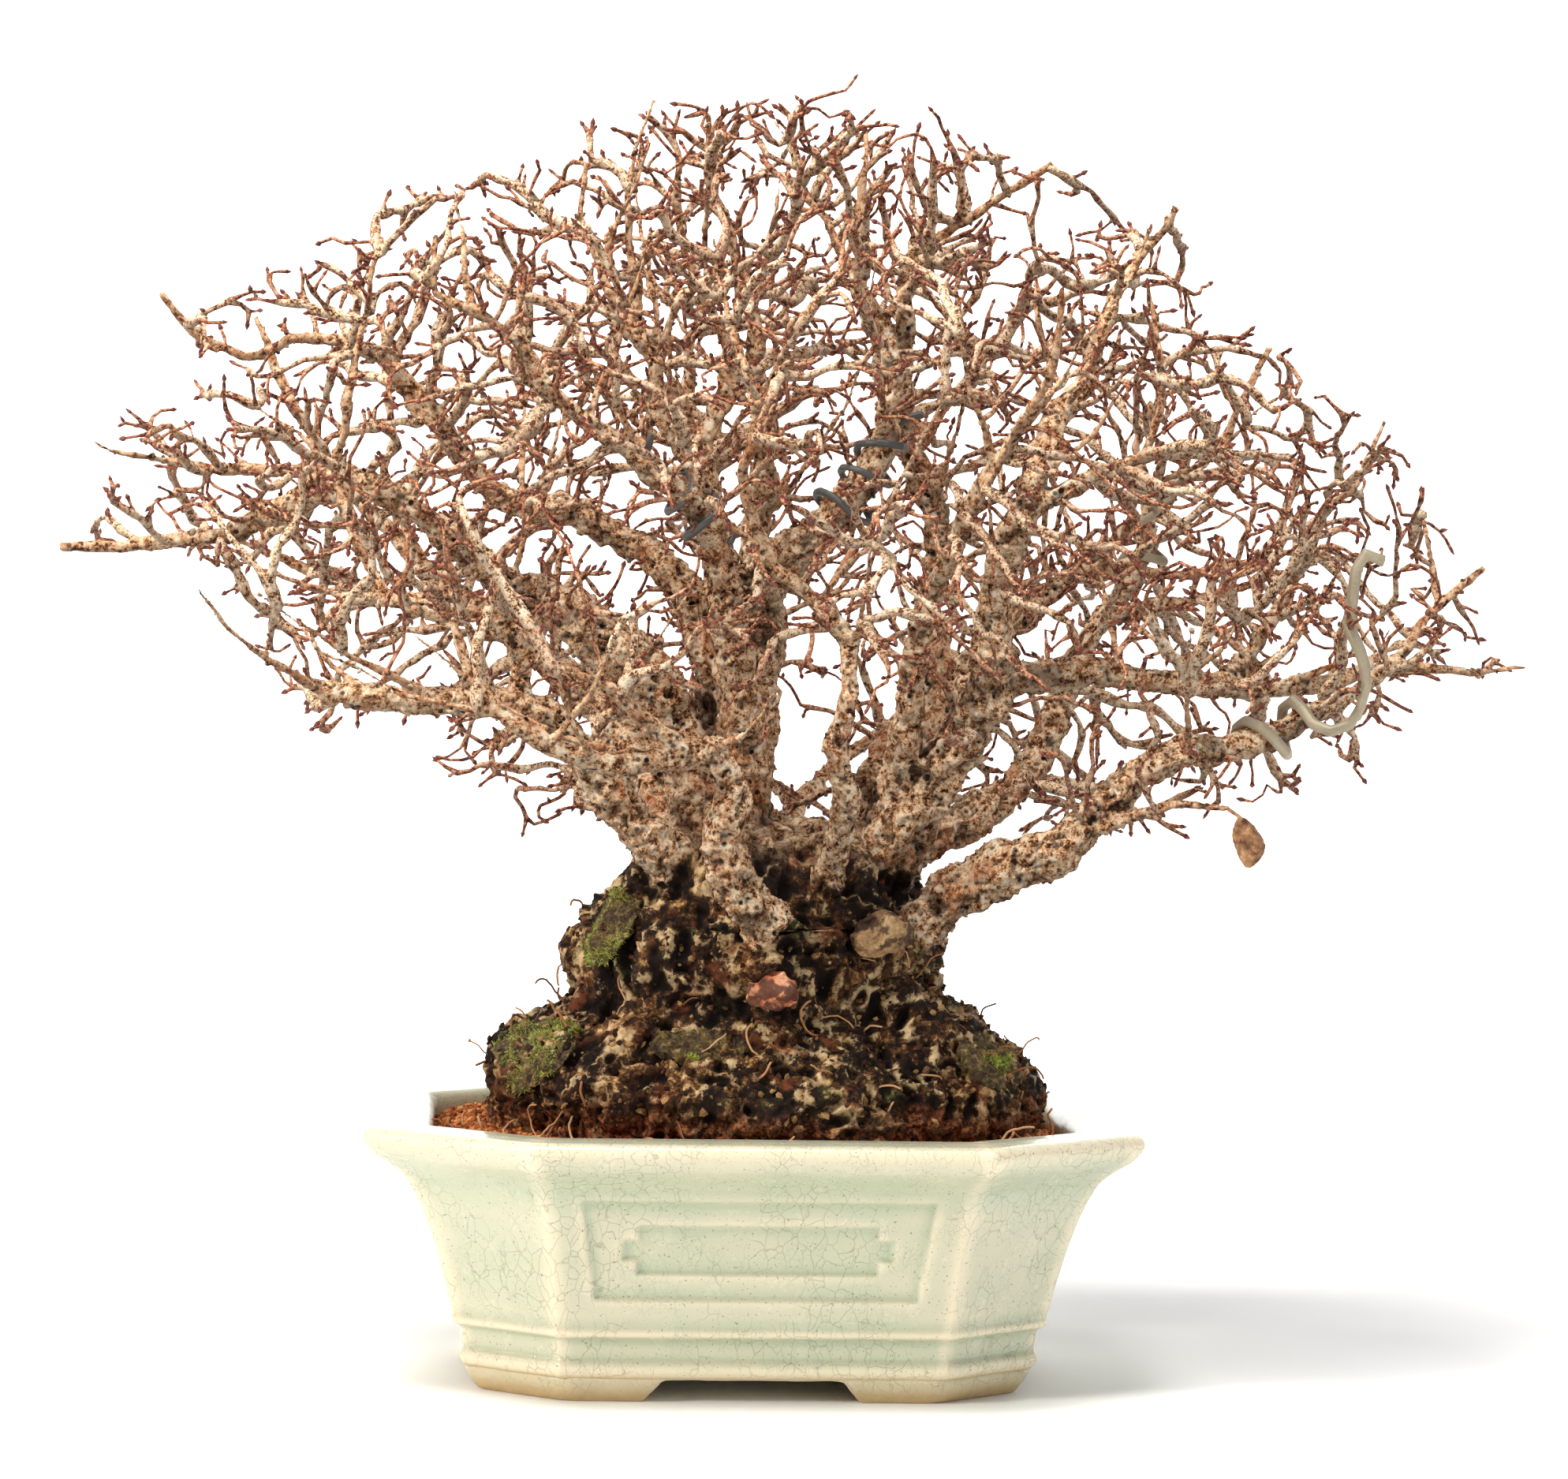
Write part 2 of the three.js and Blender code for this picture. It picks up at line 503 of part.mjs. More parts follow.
// ---------------------------------------------------------------- limbs
// A limb: where it runs, its radius at the start and at the end, how much of its start belongs
// to the trunk, its forks (each a limb of its own wood) and how many side branches it bears.
const limbs = {
  left_main: {
    path: [[-12, 2, 175], [-18, 0, 208], [-27, 2, 230], [-44, 2, 252], [-64, 2, 266], [-84, 0, 278],
      [-101, -2, 290], [-120, -4, 306], [-137, 0, 314], [-157, 5, 309], [-176, 10, 299], [-198, 12, 294],
      [-223, 14, 291], [-246, 16, 290]],
    radii: [14, 2],
    trunkShare: 0.2,
    forks: [{ path: [[-127, -2, 309], [-146, 6, 317], [-177, 14, 317], [-199, 18, 318], [-236, 22, 326]],
      radii: [4.5, 1.3] }],
    branches: 7,
  },
  right_low: {
    path: [[32, -8, 138], [54, -20, 157], [71, -30, 175], [91, -35, 185], [111, -40, 194], [125, -42, 212],
      [142, -42, 224], [167, -40, 227], [190, -36, 237], [210, -30, 249], [226, -25, 261], [239, -15, 276],
      [258, -10, 291]],
    radii: [13, 1.6],
    trunkShare: 0.14,
    forks: [
      { path: [[222, -26, 257], [246, -30, 256], [272, -30, 258]], radii: [3, 1.2] },
      { path: [[113, -41, 197], [128, -50, 203], [142, -58, 208], [160, -66, 207]], radii: [3.4, 1.4] },
    ],
    branches: 7,
  },
  right_mid: {
    path: [[36, 12, 160], [57, 20, 187], [78, 28, 195], [96, 35, 207], [109, 38, 223], [115, 40, 240],
      [128, 45, 269], [138, 48, 284], [147, 52, 299], [146, 56, 313], [143, 60, 334], [150, 64, 352]],
    radii: [10, 1.8],
    trunkShare: 0.22,
    forks: [{ path: [[131, 46, 272], [152, 46, 277], [177, 45, 283], [200, 40, 292]], radii: [4.2, 1.3] }],
    branches: 6,
  },
  right_level: {
    path: [[46, 2, 218], [62, -3, 236], [95, -10, 249], [123, -12, 251], [151, -12, 248], [169, -6, 247],
      [188, 2, 248], [209, 8, 251], [224, 12, 256]],
    radii: [8, 3],
    trunkShare: 0.16,
    forks: [{ path: [[165, -7, 247], [176, 0, 258], [188, 8, 276], [199, 12, 295], [206, 14, 314],
      [217, 14, 323], [226, 12, 343]], radii: [4.2, 1.3] }],
    branches: 6,
  },
  right_upper: {
    path: [[46, -6, 180], [64, -16, 216], [78, -24, 238], [83, -30, 258], [81, -36, 277], [85, -42, 296],
      [93, -44, 313], [96, -44, 332], [109, -40, 349], [113, -34, 366], [118, -28, 380], [127, -22, 394],
      [144, -16, 416]],
    radii: [12, 1.8],
    trunkShare: 0.2,
    forks: [{ path: [[92, -43, 311], [112, -46, 318], [128, -48, 325], [137, -50, 344], [134, -50, 368],
      [130, -46, 384]], radii: [4.5, 1.2] }],
    branches: 7,
  },
  centre_right: {
    path: [[44, 12, 185], [58, 24, 215], [69, 30, 237], [67, 36, 260], [65, 40, 277], [70, 44, 300],
      [59, 42, 334], [54, 36, 357], [51, 30, 379], [56, 26, 399], [70, 20, 410], [83, 15, 420],
      [105, 10, 433]],
    radii: [10, 1.5],
    trunkShare: 0.22,
    forks: [],
    branches: 6,
  },
  apex: {
    path: [[-6, 0, 190], [-4, 0, 225], [1, -1, 256], [1, -6, 281], [10, -12, 292], [26, -16, 307],
      [40, -16, 323],
      [47, -12, 343], [45, -10, 363], [35, -10, 382], [33, -8, 410], [34, -5, 427], [33, 0, 442]],
    radii: [14, 1.4],
    trunkShare: 0.3,
    forks: [],
    branches: 7,
  },
  apex_left: {
    path: [[-10, 10, 190], [-6, 13, 259], [0, 16, 290], [2, 16, 312], [3, 14, 332], [-1, 12, 354],
      [-7, 8, 393],
      [-13, 6, 407], [-20, 4, 426], [-21, 4, 445]],
    radii: [10, 1.3],
    trunkShare: 0.36,
    forks: [],
    branches: 7,
  },
  left_upper: {
    path: [[-10, 12, 200], [-14, 20, 250], [-27, 26, 281], [-44, 30, 294], [-61, 32, 306], [-84, 34, 308],
      [-101, 34, 319], [-111, 34, 333], [-119, 34, 347], [-130, 32, 358], [-147, 28, 366], [-164, 24, 365],
      [-186, 18, 357], [-202, 14, 366], [-211, 12, 377]],
    radii: [10, 1.5],
    trunkShare: 0.26,
    forks: [],
    branches: 8,
  },
  upper_left: {
    path: [[-4, -10, 215], [-9, -22, 262], [-19, -36, 297], [-33, -42, 313], [-50, -48, 327],
      [-64, -52, 336],
      [-77, -56, 347], [-86, -58, 360], [-102, -60, 370], [-118, -60, 380], [-117, -60, 396]],
    radii: [9, 1.4],
    trunkShare: 0.26,
    forks: [],
    branches: 7,
  },
  top_left: {
    path: [[-6, 2, 230], [-12, -2, 275], [-22, -6, 317], [-35, -8, 336], [-38, -8, 358], [-49, -8, 369],
      [-58, -8, 388], [-64, -8, 402], [-64, -4, 427]],
    radii: [8, 1.3],
    trunkShare: 0.24,
    forks: [{ path: [[-43, -8, 362], [-47, -7, 382], [-47, -6, 402], [-49, -5, 419], [-40, -4, 451]],
      radii: [3, 1] }],
    branches: 6,
  },
  top_centre_left: {
    path: [[-8, 20, 220], [-10, 38, 275], [-18, 48, 333], [-10, 52, 350], [-7, 52, 365], [-16, 48, 387],
      [-26, 44, 407], [-28, 38, 439]],
    radii: [8, 1.3],
    trunkShare: 0.22,
    forks: [],
    branches: 6,
  },
  front_riser: {
    path: [[20, -24, 160], [27, -40, 189], [29, -54, 211], [24, -60, 226], [28, -63, 241], [31, -63, 252],
      [27, -62, 267], [17, -62, 276], [4, -62, 280], [-5, -64, 294], [-10, -68, 313], [-8, -76, 334],
      [-2, -84, 353], [4, -92, 370]],
    radii: [6.5, 1.3],
    trunkShare: 0.16,
    forks: [],
    branches: 6,
  },
  front_s: {
    path: [[14, -30, 138], [6, -48, 159], [-10, -64, 179], [-16, -70, 195], [-11, -73, 211],
      [-16, -77, 223],
      [-31, -82, 222], [-47, -86, 220], [-63, -90, 220], [-76, -93, 227], [-86, -96, 231], [-94, -98, 240],
      [-105, -98, 253], [-108, -98, 266]],
    radii: [11, 1.8],
    trunkShare: 0.14,
    forks: [{ path: [[-27, -81, 222], [-36, -86, 231], [-46, -91, 238], [-58, -98, 247], [-74, -104, 251]],
      radii: [4, 1.6] }],
    branches: 6,
  },
  left_low: {
    path: [[-14, -12, 165], [-33, -24, 187], [-47, -30, 201], [-56, -34, 213], [-61, -37, 220],
      [-72, -40, 233],
      [-89, -44, 237], [-110, -46, 238], [-132, -46, 239], [-152, -46, 241]],
    radii: [10, 4],
    trunkShare: 0.24,
    forks: [{ path: [[-84, -43, 237], [-82, -40, 250], [-84, -37, 261], [-91, -35, 268], [-103, -34, 270],
      [-119, -34, 266], [-130, -32, 272], [-137, -30, 285], [-143, -28, 303], [-146, -26, 322],
      [-147, -26, 338],
      [-143, -24, 357], [-138, -20, 371], [-135, -16, 399]], radii: [5, 1.3] }],
    branches: 8,
  },
  rear_left: {
    path: [[-18, 20, 175], [-35, 45, 213], [-60, 75, 243], [-95, 100, 268], [-135, 120, 298],
      [-165, 130, 338],
      [-185, 135, 378]],
    radii: [10, 1.5],
    trunkShare: 0.22,
    forks: [{ path: [[-106, 106, 276], [-135, 112, 274], [-172, 112, 288],
      [-205, 104, 300]], radii: [4, 1.3] }],
    branches: 7,
  },
  rear_centre: {
    path: [[0, 20, 190], [4, 55, 230], [0, 85, 265], [-10, 110, 305], [-20, 125, 345], [-15, 130, 385],
      [-5, 122, 420]],
    radii: [9, 1.4],
    trunkShare: 0.26,
    forks: [],
    branches: 8,
  },
  rear_right: {
    path: [[30, 20, 180], [55, 52, 222], [85, 80, 252], [120, 105, 282], [160, 118, 312], [188, 122, 345],
      [205, 120, 378]],
    radii: [9, 1.5],
    trunkShare: 0.24,
    forks: [{ path: [[126, 107, 286], [158, 98, 288], [192, 88, 296],
      [222, 82, 300]], radii: [3.8, 1.3] }],
    branches: 7,
  },
  rear_low: {
    path: [[10, 30, 140], [15, 68, 168], [20, 108, 190], [34, 138, 206], [60, 158, 226], [88, 166, 252]],
    radii: [8, 1.6],
    trunkShare: 0.22,
    forks: [{ path: [[24, 122, 198], [4, 146, 214], [-22, 160, 236],
      [-52, 166, 250]], radii: [3.6, 1.3] }],
    branches: 6,
  },
  front_crown_right: {
    path: [[50, -8, 195], [56, -40, 270], [66, -72, 306], [80, -98, 334], [88, -118, 356],
      [92, -128, 380]],
    radii: [7, 1.3],
    trunkShare: 0.36,
    forks: [],
    branches: 6,
  },
};

// Branches bend toward the light as they leave the limb.
const branchLength = 62;
const branchRise = 26;
const branchRadius = 1.9;
const branchTipRadius = 0.9;
const ringSpacing = 19;
const crownCentre = [5, 8, 215];
const goldenTurn = 2.39996;

function placed(path) {
  return path.map(([x, y, z], index) => {
    const spread = index === 0 ? 1 : limbSpread;
    return [x * spread, y * spread, stretched(z)];
  });
}

// Limbs thin out quickly at first and then slowly, with a slight swelling at every joint.
function taper(radii, clearance) {
  const [start, end] = radii;
  return (t) => {
    const body = end + (start - end) * (1 - t) ** 1.25;
    const swelling = 1 + 0.06 * Math.sin(29 * t);
    return limbThickness * body * swelling + clearance;
  };
}

// One stretch of a limb between two parts of its length, as a solid.
function limbStretch(limb, from, to, clearance) {
  const all = evenPoints(placed(limb.path), ringSpacing);
  const last = all.length - 1;
  const first = Math.round(from * last);
  const final = Math.round(to * last);
  const chosen = all.slice(first, final + 1).map((point) => point.clone());
  if (from > 0) {
    const along = chosen[1].clone().sub(chosen[0]).normalize();
    chosen[0].addScaledVector(along, gap - clearance);
  }
  const radius = taper(limb.radii, clearance);
  const radiusAt = (t) => radius((first + t * (final - first)) / last);
  return tube(chosen, radiusAt, limbSides);
}

// The wood of a limb outside the trunk: its run and its forks.
function limbSolid(limb, clearance) {
  let solid = limbStretch(limb, limb.trunkShare, 1, clearance);
  for (const fork of limb.forks) {
    const points = evenPoints(placed(fork.path), ringSpacing);
    solid = solid.add(tube(points, taper(fork.radii, clearance), branchSides));
  }
  return solid;
}

// A side branch that starts inside its limb and turns outward and up.
function sideBranch(limb, number, order, clearance) {
  const all = evenPoints(placed(limb.path), ringSpacing);
  const along = 0.42 + (0.56 * (number + 0.5)) / limb.branches;
  const start = all[Math.round(along * (all.length - 1))];
  const turn = goldenTurn * (number + 3 * order);
  const outward = start.clone().sub(new THREE.Vector3(...crownCentre)).normalize();
  const sideways = new THREE.Vector3(Math.cos(turn), Math.sin(turn), 0.25 * Math.sin(2 * turn));
  const heading = outward.multiplyScalar(0.75).add(sideways.multiplyScalar(0.8)).normalize();
  const size = branchLength * (0.75 + 0.35 * Math.sin(1.7 * number + order));
  const middle = start.clone().addScaledVector(heading, 0.5 * size);
  middle.z += 0.15 * branchRise;
  const end = start.clone().addScaledVector(heading, size);
  end.z += branchRise;
  const curve = new THREE.QuadraticBezierCurve3(start, middle, end);
  const points = curve.getSpacedPoints(2);
  const radiusAt = (t) => limbThickness * (branchRadius + (branchTipRadius - branchRadius) * t) + clearance;
  return { solid: tube(points, radiusAt, branchSides), tip: end };
}

// The crown keeps inside this outline, so no branch pokes out past it.
const crownHalfX = 268;
const crownHalfY = 172;
const crownTop = 452;
function insideCrown(tip) {
  const x = (tip.x - 14) / (crownHalfX * limbSpread);
  const y = tip.y / (crownHalfY * limbSpread);
  const z = (tip.z - stretched(215)) / (stretched(crownTop) - stretched(215));
  return x * x + y * y + Math.max(z, 0) ** 2 < 1 && tip.z > stretched(185);
}

// ---------------------------------------------------------------- trunk
// Each stone: direction in degrees, height, how far it stands out of the bark, half sizes.
const stones = {
  stone_pink: { direction: -88, height: 141, out: 2, size: [11, 8, 9] },
  stone_tan: { direction: -58, height: 161, out: 2, size: [13, 8, 9.5] },
};

function stoneSolid({ direction, height, out, size }, clearance) {
  const ball = new THREE.IcosahedronGeometry(1, 2);
  const centre = barkPoint(direction, height, out);
  const position = ball.attributes.position;
  for (let i = 0; i < position.count; i += 1) {
    const x = position.getX(i);
    const y = position.getY(i);
    const z = position.getZ(i);
    const uneven = 1 + 0.09 * ripple(40 * x + direction, 40 * y, 40 * z);
    position.setXYZ(
      i,
      centre[0] + x * (size[0] * uneven + clearance),
      centre[1] + y * (size[1] * uneven + clearance),
      centre[2] + z * (size[2] * uneven + clearance),
    );
  }
  return solidFromGeometry(ball);
}

function makeTrunk(clearance) {
  let trunk = rootBase(clearance);
  for (const limb of Object.values(limbs)) {
    trunk = trunk.add(limbStretch(limb, 0, limb.trunkShare, clearance));
  }
  return trunk;
}

// ---------------------------------------------------------------- moss
// Each cushion: direction in degrees, height and half sizes; it lies on the bark like a skin.
const mossCushions = {
  moss_left_bump: { direction: -152, height: 117, size: [21, 24, 15] },
  moss_left_shoulder: { direction: -158, height: 160, size: [18, 20, 15] },
  moss_front_ledge: { direction: -106, height: 122, size: [18, 14, 6] },
  moss_right_lobe: { direction: -33, height: 117, size: [18, 20, 12] },
  moss_back: { direction: 112, height: 122, size: [26, 20, 16] },
};

function makeMoss({ direction, height, size }, trunkKeepOut) {
  const ball = new THREE.IcosahedronGeometry(1, 2);
  ball.scale(...size);
  ball.translate(...barkPoint(direction, height, 0));
  const skinOfBark = rootBase(gap + mossThickness);
  return largestPiece(solidFromGeometry(ball).intersect(skinOfBark).subtract(trunkKeepOut));
}

// ---------------------------------------------------------------- wires
// A wire wound round a limb for some turns, with a straight lead at each end.
function coil(wire, clearance) {
  const { limb: limbName, from, to, turns, radius: wireRadius, leadIn, leadOut } = wire;
  const limb = limbs[limbName];
  const all = new THREE.CatmullRomCurve3(evenPoints(placed(limb.path), ringSpacing), false, "centripetal");
  const radius = taper(limb.radii, 0);
  const steps = Math.round(turns * 9);
  const stations = [];
  const startTangent = all.getTangentAt(from);
  let across = new THREE.Vector3(0, 0, 1).cross(startTangent).normalize();
  for (let i = 0; i <= steps; i += 1) {
    const t = from + ((to - from) * i) / steps;
    const tangent = all.getTangentAt(t);
    across = across.clone().addScaledVector(tangent, -across.dot(tangent)).normalize();
    const up = tangent.clone().cross(across);
    const angle = (2 * Math.PI * turns * i) / steps;
    const away = 1.09 * radius(t) + wireRadius + 3 * gap;
    const point = all.getPointAt(t);
    point.addScaledVector(across, away * Math.cos(angle)).addScaledVector(up, away * Math.sin(angle));
    stations.push(point.toArray());
  }
  const lead = (list, from3) => list.map(([x, y, z]) => [from3[0] + x, from3[1] + y, from3[2] + z]);
  const head = lead(leadIn, stations[0]);
  const tail = lead(leadOut, stations[stations.length - 1]);
  const points = evenPoints([...head, ...stations, ...tail], 3.2 * wireRadius);
  return tube(points, () => wireRadius + clearance, wireSides);
}

const wires = {
  wire_right_pale: {
    limb: "right_low", from: 0.6, to: 0.68, turns: 1.25, radius: wirePaleRadius,
    leadIn: [],
    leadOut: [[8, -12, -9], [16, -15, -8], [22, -17, 4], [20, -18, 16], [17, -16, 28], [19, -16, 42],
      [24, -16, 52], [30, -16, 50]],
    colour: "pale",
  },
  wire_upper_right_pale: {
    limb: "right_mid", from: 0.72, to: 0.8, turns: 1.5, radius: 0.75 * wirePaleRadius,
    leadIn: [],
    leadOut: [[-6, -10, 6], [-14, -16, 9]],
    colour: "pale",
  },
  wire_apex_dark: {
    limb: "apex", from: 0.46, to: 0.6, turns: 3, radius: wireDarkRadius,
    leadIn: [[-14, -12, -6], [-7, -7, -3]],
    leadOut: [[6, -5, 6], [14, -8, 9]],
    colour: "dark",
  },
  wire_left_dark: {
    limb: "upper_left", from: 0.36, to: 0.48, turns: 2.5, radius: wireDarkRadius,
    leadIn: [],
    leadOut: [[-3, -6, 8], [-2, -8, 18]],
    colour: "dark",
  },
};

// ---------------------------------------------------------------- dry leaf
function makeLeaf(tip) {
  const length = 17;
  const half = 5.2;
  const rows = 7;
  const rings = [];
  for (let row = 0; row <= rows; row += 1) {
    const t = row / rows;
    const wide = 0.5 + half * Math.sin(Math.PI * Math.min(0.04 + 0.93 * t, 1)) ** 0.8;
    const drop = -length * t;
    const sway = 4 * Math.sin(2.2 * t);
    const curl = 0.45 * wide;
    const upper = [[-wide, curl], [-0.45 * wide, 0], [0.45 * wide, 0.2], [wide, curl + 0.8]];
    const lower = upper.slice().reverse();
    const shift = [tip.x + 2.4 + sway, tip.y - 2, tip.z + drop];
    const face = upper.map(([x, y]) => [shift[0] + x, shift[1] + y - leafThickness / 2, shift[2]]);
    const back = lower.map(([x, y]) => [shift[0] + x, shift[1] + y + leafThickness / 2, shift[2]]);
    rings.push([...back, ...face]);
  }
  return skin(rings);
}

// ---------------------------------------------------------------- assembly
const finishes = {
  glaze: [0xdcdabf, 0.22, 0],
  plastic: [0x2c2f30, 0.6, 0],
  darkWire: [0x4a4c4c, 0.45, 1],
  paleWire: [0xc9c9c4, 0.35, 1],
  soil: [0x62402b, 0.95, 0],
  bark: [0x98805f, 0.85, 0],
  rootBark: [0x5b4431, 0.9, 0],
  pinkStone: [0xb5745a, 0.8, 0],
  tanStone: [0xb99a70, 0.8, 0],
  moss: [0x6f7a3c, 0.95, 0],
  leaf: [0x7b5435, 0.8, 0],
};

const group = new THREE.Group();
group.name = "bonsai_in_pot";

function addNode(name, solid, finish) {
  const raw = solid.getMesh();
  const geometry = new THREE.BufferGeometry();
  const positions = new Float32Array(raw.numVert * 3);
  for (let i = 0; i < raw.numVert; i += 1) {
    for (let axis = 0; axis < 3; axis += 1) {
      positions[3 * i + axis] = raw.vertProperties[raw.numProp * i + axis];
    }
  }
  geometry.setAttribute("position", new THREE.BufferAttribute(positions, 3));
  geometry.setIndex(new THREE.BufferAttribute(new Uint32Array(raw.triVerts), 1));
  const [color, roughness, metalness] = finishes[finish];
  const mesh = new THREE.Mesh(geometry, new THREE.MeshStandardMaterial({ color, roughness, metalness }));
  mesh.name = name;
  group.add(mesh);
}

const pot = makePot();
addNode("pot", pot, "glaze");
const meshes = [makeDrainageMesh(-1), makeDrainageMesh(1)];
const clips = [makeClip(-1), makeClip(1)];
["left", "right"].forEach((side, i) => {
  addNode(`drainage_mesh_${side}`, meshes[i].subtract(clips[i]), "plastic");
  addNode(`mesh_clip_${side}`, clips[i], "darkWire");
});

// Trunk, with a socket for each stone.
let trunk = makeTrunk(0);
let trunkKeepOut = makeTrunk(gap);
for (const [name, stone] of Object.entries(stones)) {
  trunk = trunk.subtract(stoneSolid(stone, gap));
  trunkKeepOut = trunkKeepOut.add(stoneSolid(stone, gap));
  addNode(name, stoneSolid(stone, 0), name === "stone_pink" ? "pinkStone" : "tanStone");
}
trunk = largestPiece(trunk);
addNode("trunk", trunk, "rootBark");

// Soil fills the pot round the root base, with a hollow over each mesh.
function makeSoil() {
  const lowest = potFloor + gap;
  const wallGap = gap + 0.2;
  const below = insideLevels.slice(1).filter((z) => z < soilTop - 2);
  const levels = [lowest, ...below, soilTop - 1.5];
  const rings = levels.map((z, i) => octagon(innerInset(z) + wallGap + (i === 0 ? 3 : 0), z, 6));
  for (const share of [0.94, 0.82, 0.68, 0.5]) {
    const outer = octagon(innerInset(soilTop) + wallGap, soilTop, 6);
    const rise = soilTop + soilCrown * (1 - share);
    const waved = ([x, y]) => [x * share, y * share, rise + soilWave * ripple(3 * x, 3 * y, 90 * share)];
    rings.push(outer.map(waved));
  }
  let soil = skin(rings);
  for (const side of [-1, 1]) {
    const hollow = new THREE.BoxGeometry(meshSide + 2, meshSide + 2, 12);
    hollow.translate(side * holeSpread, 0, potFloor - 1.2);
    soil = soil.subtract(solidFromGeometry(hollow));
  }
  return largestPiece(soil.subtract(trunkKeepOut));
}
const soil = makeSoil();
addNode("soil", soil, "soil");

for (const [name, cushion] of Object.entries(mossCushions)) {
  addNode(name, makeMoss(cushion, trunkKeepOut), "moss");
}

// Wires first, then the limbs, so a branch that would run into a wire is left off.
const keepOuts = [trunkKeepOut];
for (const [name, wire] of Object.entries(wires)) {
  addNode(name, coil(wire, 0), wire.colour === "pale" ? "paleWire" : "darkWire");
  keepOuts.push(coil(wire, gap));
}

const leafHolder = limbs.right_low.forks[1].path;
const leafTip = new THREE.Vector3(...placed(leafHolder)[leafHolder.length - 1]);
const leaf = makeLeaf(leafTip.clone().add(new THREE.Vector3(1, 0, -3)));
addNode("dry_leaf", leaf, "leaf");
keepOuts.push(leaf);

// Every limb is grown clear of all that stands before it; a branch with no room is pruned.
const runs = {};
const fatRuns = {};
for (const [name, limb] of Object.entries(limbs)) {
  runs[name] = limbSolid(limb, 0);
  fatRuns[name] = limbSolid(limb, gap);
}
const relieved = {};
Object.keys(limbs).forEach((name, order) => {
  let run = runs[name];
  for (const other of keepOuts) {
    if (meets(run, other)) {
      run = run.subtract(other);
    }
  }
  for (const earlier of Object.keys(limbs).slice(0, order)) {
    if (meets(run, fatRuns[earlier])) {
      run = run.subtract(fatRuns[earlier]);
    }
  }
  relieved[name] = largestPiece(run);
});
const grownBranches = [];
Object.entries(limbs).forEach(([name, limb], order) => {
  let solid = relieved[name];
  for (let number = 0; number < limb.branches; number += 1) {
    const fat = sideBranch(limb, number, order, gap);
    const others = Object.keys(limbs).filter((other) => other !== name).map((other) => relieved[other]);
    const blocked = [...keepOuts, ...others, ...grownBranches].some((other) => meets(fat.solid, other));
    if (!blocked && insideCrown(fat.tip)) {
      const branch = sideBranch(limb, number, order, 0).solid;
      solid = solid.add(branch);
      grownBranches.push(branch);
    }
  }
  addNode(`limb_${name}`, largestPiece(solid), "bark");
});

// The whole part stands with the middle of its base box on the origin.
const box = new THREE.Box3().setFromObject(group);
const middleOfBox = box.getCenter(new THREE.Vector3());
for (const mesh of group.children) {
  mesh.geometry.translate(-middleOfBox.x, -middleOfBox.y, -box.min.z);
}

export default group;
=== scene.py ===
# %% [markdown]
# # A leafless bonsai in a glazed pot
# The CAD model fixes every size. This notebook dresses it: bark, twigs, buds, soil, moss, glaze and wire.
# Lengths are metres, +Z is up, and the front of the tree faces -Y. `mm` keeps small sizes readable.

# %% Frame
import itertools
import math
import bmesh
import bpy
import numpy as np
from mathutils import Matrix, Vector
from mathutils.bvhtree import BVHTree


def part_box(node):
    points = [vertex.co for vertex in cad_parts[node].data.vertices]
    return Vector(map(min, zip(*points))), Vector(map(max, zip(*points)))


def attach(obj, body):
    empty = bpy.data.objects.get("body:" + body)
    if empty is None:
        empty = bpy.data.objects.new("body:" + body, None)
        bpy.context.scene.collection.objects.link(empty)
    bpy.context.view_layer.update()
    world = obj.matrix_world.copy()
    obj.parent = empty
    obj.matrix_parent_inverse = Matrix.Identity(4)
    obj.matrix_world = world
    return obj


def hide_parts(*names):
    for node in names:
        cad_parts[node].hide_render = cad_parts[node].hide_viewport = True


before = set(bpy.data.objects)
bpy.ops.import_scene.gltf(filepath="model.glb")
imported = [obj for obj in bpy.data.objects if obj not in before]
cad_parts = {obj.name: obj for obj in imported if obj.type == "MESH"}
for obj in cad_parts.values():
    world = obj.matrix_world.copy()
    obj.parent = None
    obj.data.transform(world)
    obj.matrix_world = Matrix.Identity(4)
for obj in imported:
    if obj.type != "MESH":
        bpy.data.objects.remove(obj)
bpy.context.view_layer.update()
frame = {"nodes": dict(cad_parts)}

mm = 0.001
pot_low, pot_high = (np.array(corner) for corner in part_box("pot"))
pot_middle = (pot_low + pot_high) / 2

# %% [markdown]
# ## Camera
# The tree is seen from a little above the rim of the pot, from 1.57 m away, with a long lens that keeps the
# crown from looking bulged. The camera leans a hair to one side, as a hand-levelled one does.

# %% Camera
def stand_camera(distance, turn, height, tilt, roll, pan, lens):
    """A camera that looks past the pot's middle from `turn` degrees round it, `height` above its feet."""
    turn, tilt, roll, pan = (math.radians(angle) for angle in (turn, tilt, roll, pan))
    aside, back = math.sin(turn) * distance, math.cos(turn) * distance
    place = Vector((pot_middle[0] + aside, pot_middle[1] - back, height))
    level = math.cos(tilt)
    ahead = Vector((-math.sin(turn + pan) * level, math.cos(turn + pan) * level, -math.sin(tilt)))
    right = ahead.cross(Vector((0, 0, 1))).normalized()
    up = right.cross(ahead)
    right, up = math.cos(roll) * right + math.sin(roll) * up, math.cos(roll) * up - math.sin(roll) * right
    data = bpy.data.cameras.new("camera")
    data.lens = lens
    data.sensor_width = 36
    data.clip_end = 20
    camera = bpy.data.objects.new("camera", data)
    bpy.context.collection.objects.link(camera)
    turned = Matrix((right, up, -ahead)).transposed()
    camera.matrix_world = Matrix.Translation(place) @ turned.to_4x4()
    return camera


bpy.context.scene.camera = stand_camera(1.57, -3.6, 0.277, 1.86, 1.15, -0.39, 101.5)
print("camera at", [round(value, 3) for value in bpy.context.scene.camera.location])

